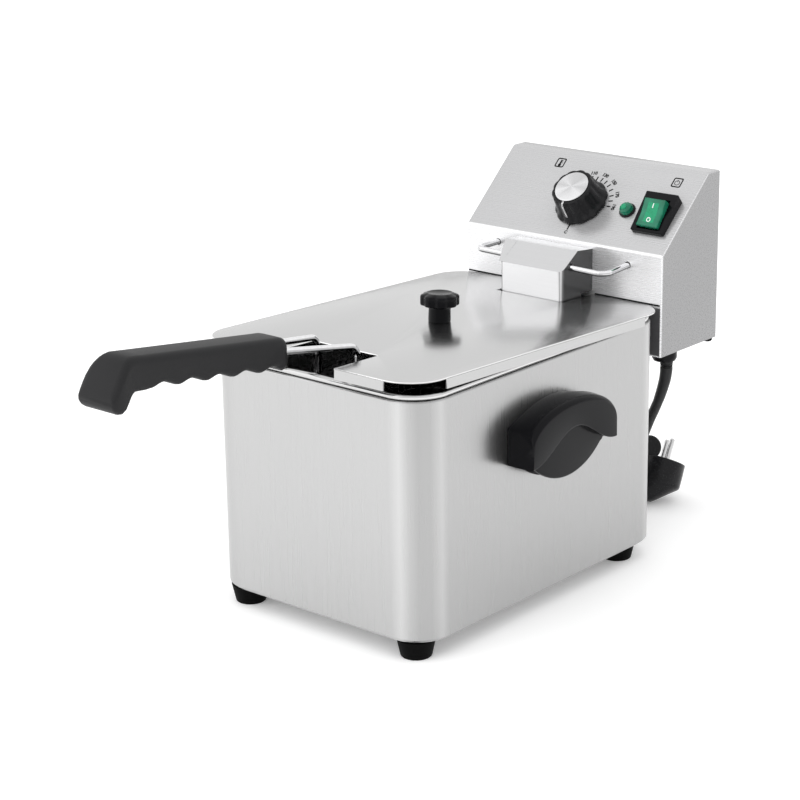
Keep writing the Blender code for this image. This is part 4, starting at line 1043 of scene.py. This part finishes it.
def make_lamp():
    place = on_panel(LAMP_X, LAMP_UP)
    bezel = [(0.0041, -0.012), (0.0049, -0.012), (0.0049, 0.0002), (0.0071, 0.0002), (0.0072, 0.0008),
             (0.0069, 0.0014), (0.0063, 0.0016), (0.0041, 0.0016), (0.0041, -0.012)]
    piece("lamp_ring", turned(bezel, place, 48), "head", "gloss", "pilot_lamp_bezel")
    lens = [(0, -0.01), (0.0037, -0.01), (0.0037, 0.0017), (0.006, 0.0017), (0.006, 0.0032), (0.0052, 0.0052),
            (0.003, 0.0065), (0, 0.0067)]
    cap = piece("lamp_lens", turned(lens, place, 12), "head", "lens", "pilot_lamp_lens", sharp=10)
    core = [(0, 0.006), (0.0027, 0.006), (0.0027, 0.007), (0.002, 0.0076), (0, 0.0078)]
    piece("lamp_core", turned(core, on_panel(LAMP_X - 0.0006, LAMP_UP - 0.0008), 16), "head", "glow")


def make_switch():
    """A wedge-shaped frame, the housing behind it and a lit rocker with a window and marks."""
    low, high = 0.018, 0.0545
    wedge = [(low, 0.0002), (low, 0.0034), (low + 0.0006, 0.004), (high - 0.0008, 0.0092), (high, 0.0084),
             (high, 0.0002)]
    blank = side_prism(wedge, SWITCH_X - 0.0155, SWITCH_X + 0.0155)
    bevel(blank, 0.0018, 5, stands_up)
    blank.transform(PANEL)
    body = box((SWITCH_X - 0.0128, 0.0207, -0.018), (SWITCH_X + 0.0128, 0.0516, 0.0004), PANEL)
    half = ROCKER_HALF_WIDTH + 0.0004
    pocket = (SWITCH_X - half, 0.0203, -0.0052), (SWITCH_X + half, 0.0481, 0.02)
    shape = joined(*[carved(solid, box(*pocket, PANEL)) for solid in (blank, body)])
    piece("switch_frame", shape, "head", "plastic", "switch_housing", sharp=30)
    outline = [(-0.0122, 0.0056), (-0.0122, -0.001), (-0.009, -0.0075), (0.009, -0.0075), (0.0122, -0.001),
               (0.0122, 0.0056), (0.0118, 0.006), (0, 0.005), (-0.0118, 0.006)]
    place = on_panel(SWITCH_X, ROCKER_UP, ROCKER_LIFT) @ Matrix.Rotation(ROCKER_REST, 4, "X")
    rocker = side_prism(outline, -ROCKER_HALF_WIDTH, ROCKER_HALF_WIDTH)
    bevel(rocker, 0.002, 4, stands_up)
    bevel(rocker, 0.0009, 3, lambda edge: min(vert.co.z for vert in edge.verts) > 0.0045)
    rocker.transform(place)
    piece("rocker_cap", rocker, "rocker", "lens", "switch_rocker")
    window = []
    rise = 0.001 / 0.0118
    for start, end in ((-0.0085, 0), (0, 0.0085)):
        corners = ((-0.0052, start), (0.0052, start), (0.0052, end), (-0.0052, end))
        window.append(extruded([(x, y, 0.0051 + abs(y) * rise) for x, y in corners], (0, 0, -0.0006)))
    whole = joined(*window)
    whole.transform(place)
    piece("rocker_window", whole, "rocker", "glow")
    mark = box((-0.0004, 0.004, -0.0004), (0.0004, 0.008, 0.0001), place @ at(0, 0, 0.0058))
    ring = turned([(0.0013, -0.0004), (0.002, -0.0004), (0.002, 0.0001), (0.0013, 0.0001), (0.0013, -0.0004)],
                  place @ at(0, -0.0062, 0.0058), 32)
    piece("rocker_marks", joined(mark, ring), "rocker", "paint")


def make_gland():
    gland = [(0, GLAND_END), (0.0068, GLAND_END), (0.0092, GLAND_END + 0.0008), (0.0104, GLAND_END + 0.003),
             (0.0105, GLAND_END + 0.0044), (0.0105, HEAD_BOTTOM - 0.0002), (0.0063, HEAD_BOTTOM - 0.0002),
             (0.0063, HEAD_BOTTOM + 0.008), (0, HEAD_BOTTOM + 0.008)]
    piece("gland_cap", turned(gland, at(GLAND_X, GLAND_Y, 0), 48), "head", "plastic", "cable_gland")


def dress_nodes():
    """Finishes for the CAD nodes that are shown as they are."""
    finishes = {
        "casing": ["base_plate", "head_bracket", "head_hanger"],
        "head": ["head_back_cover", "head_bottom_plate"],
        "rubber": ["head_bumper_left", "head_bumper_right"],
        "fixing": ["lid_knob_screw", "thermostat_shaft", "element_clamp"],
        "wire": ["basket_bracket", "basket_hook"],
        "element": ["heating_element"],
        "brass": ["thermostat_bulb", "thermostat_capillary"],
        "ceramic": ["thermostat_body", "terminal_block", "overheat_cutout"],
        "plastic": ["reset_button"],
    }
    finishes["fixing"] += [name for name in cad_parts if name.startswith(("foot_screw", "handle_bolt"))]
    for finish, names in finishes.items():
        for name in names:
            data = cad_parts[name].data
            data.materials.clear()
            data.materials.append(materials[finish])


make_camera()
make_floor()
make_light()
materials = make_materials()
make_cord()
for make in (make_casing, make_feet, make_side_handles, make_pan, make_lid, make_basket, make_grip, make_head,
             make_bridge, make_seam, make_dial, make_print, make_signs, make_lamp, make_switch, make_gland,
             dress_nodes):
    make()
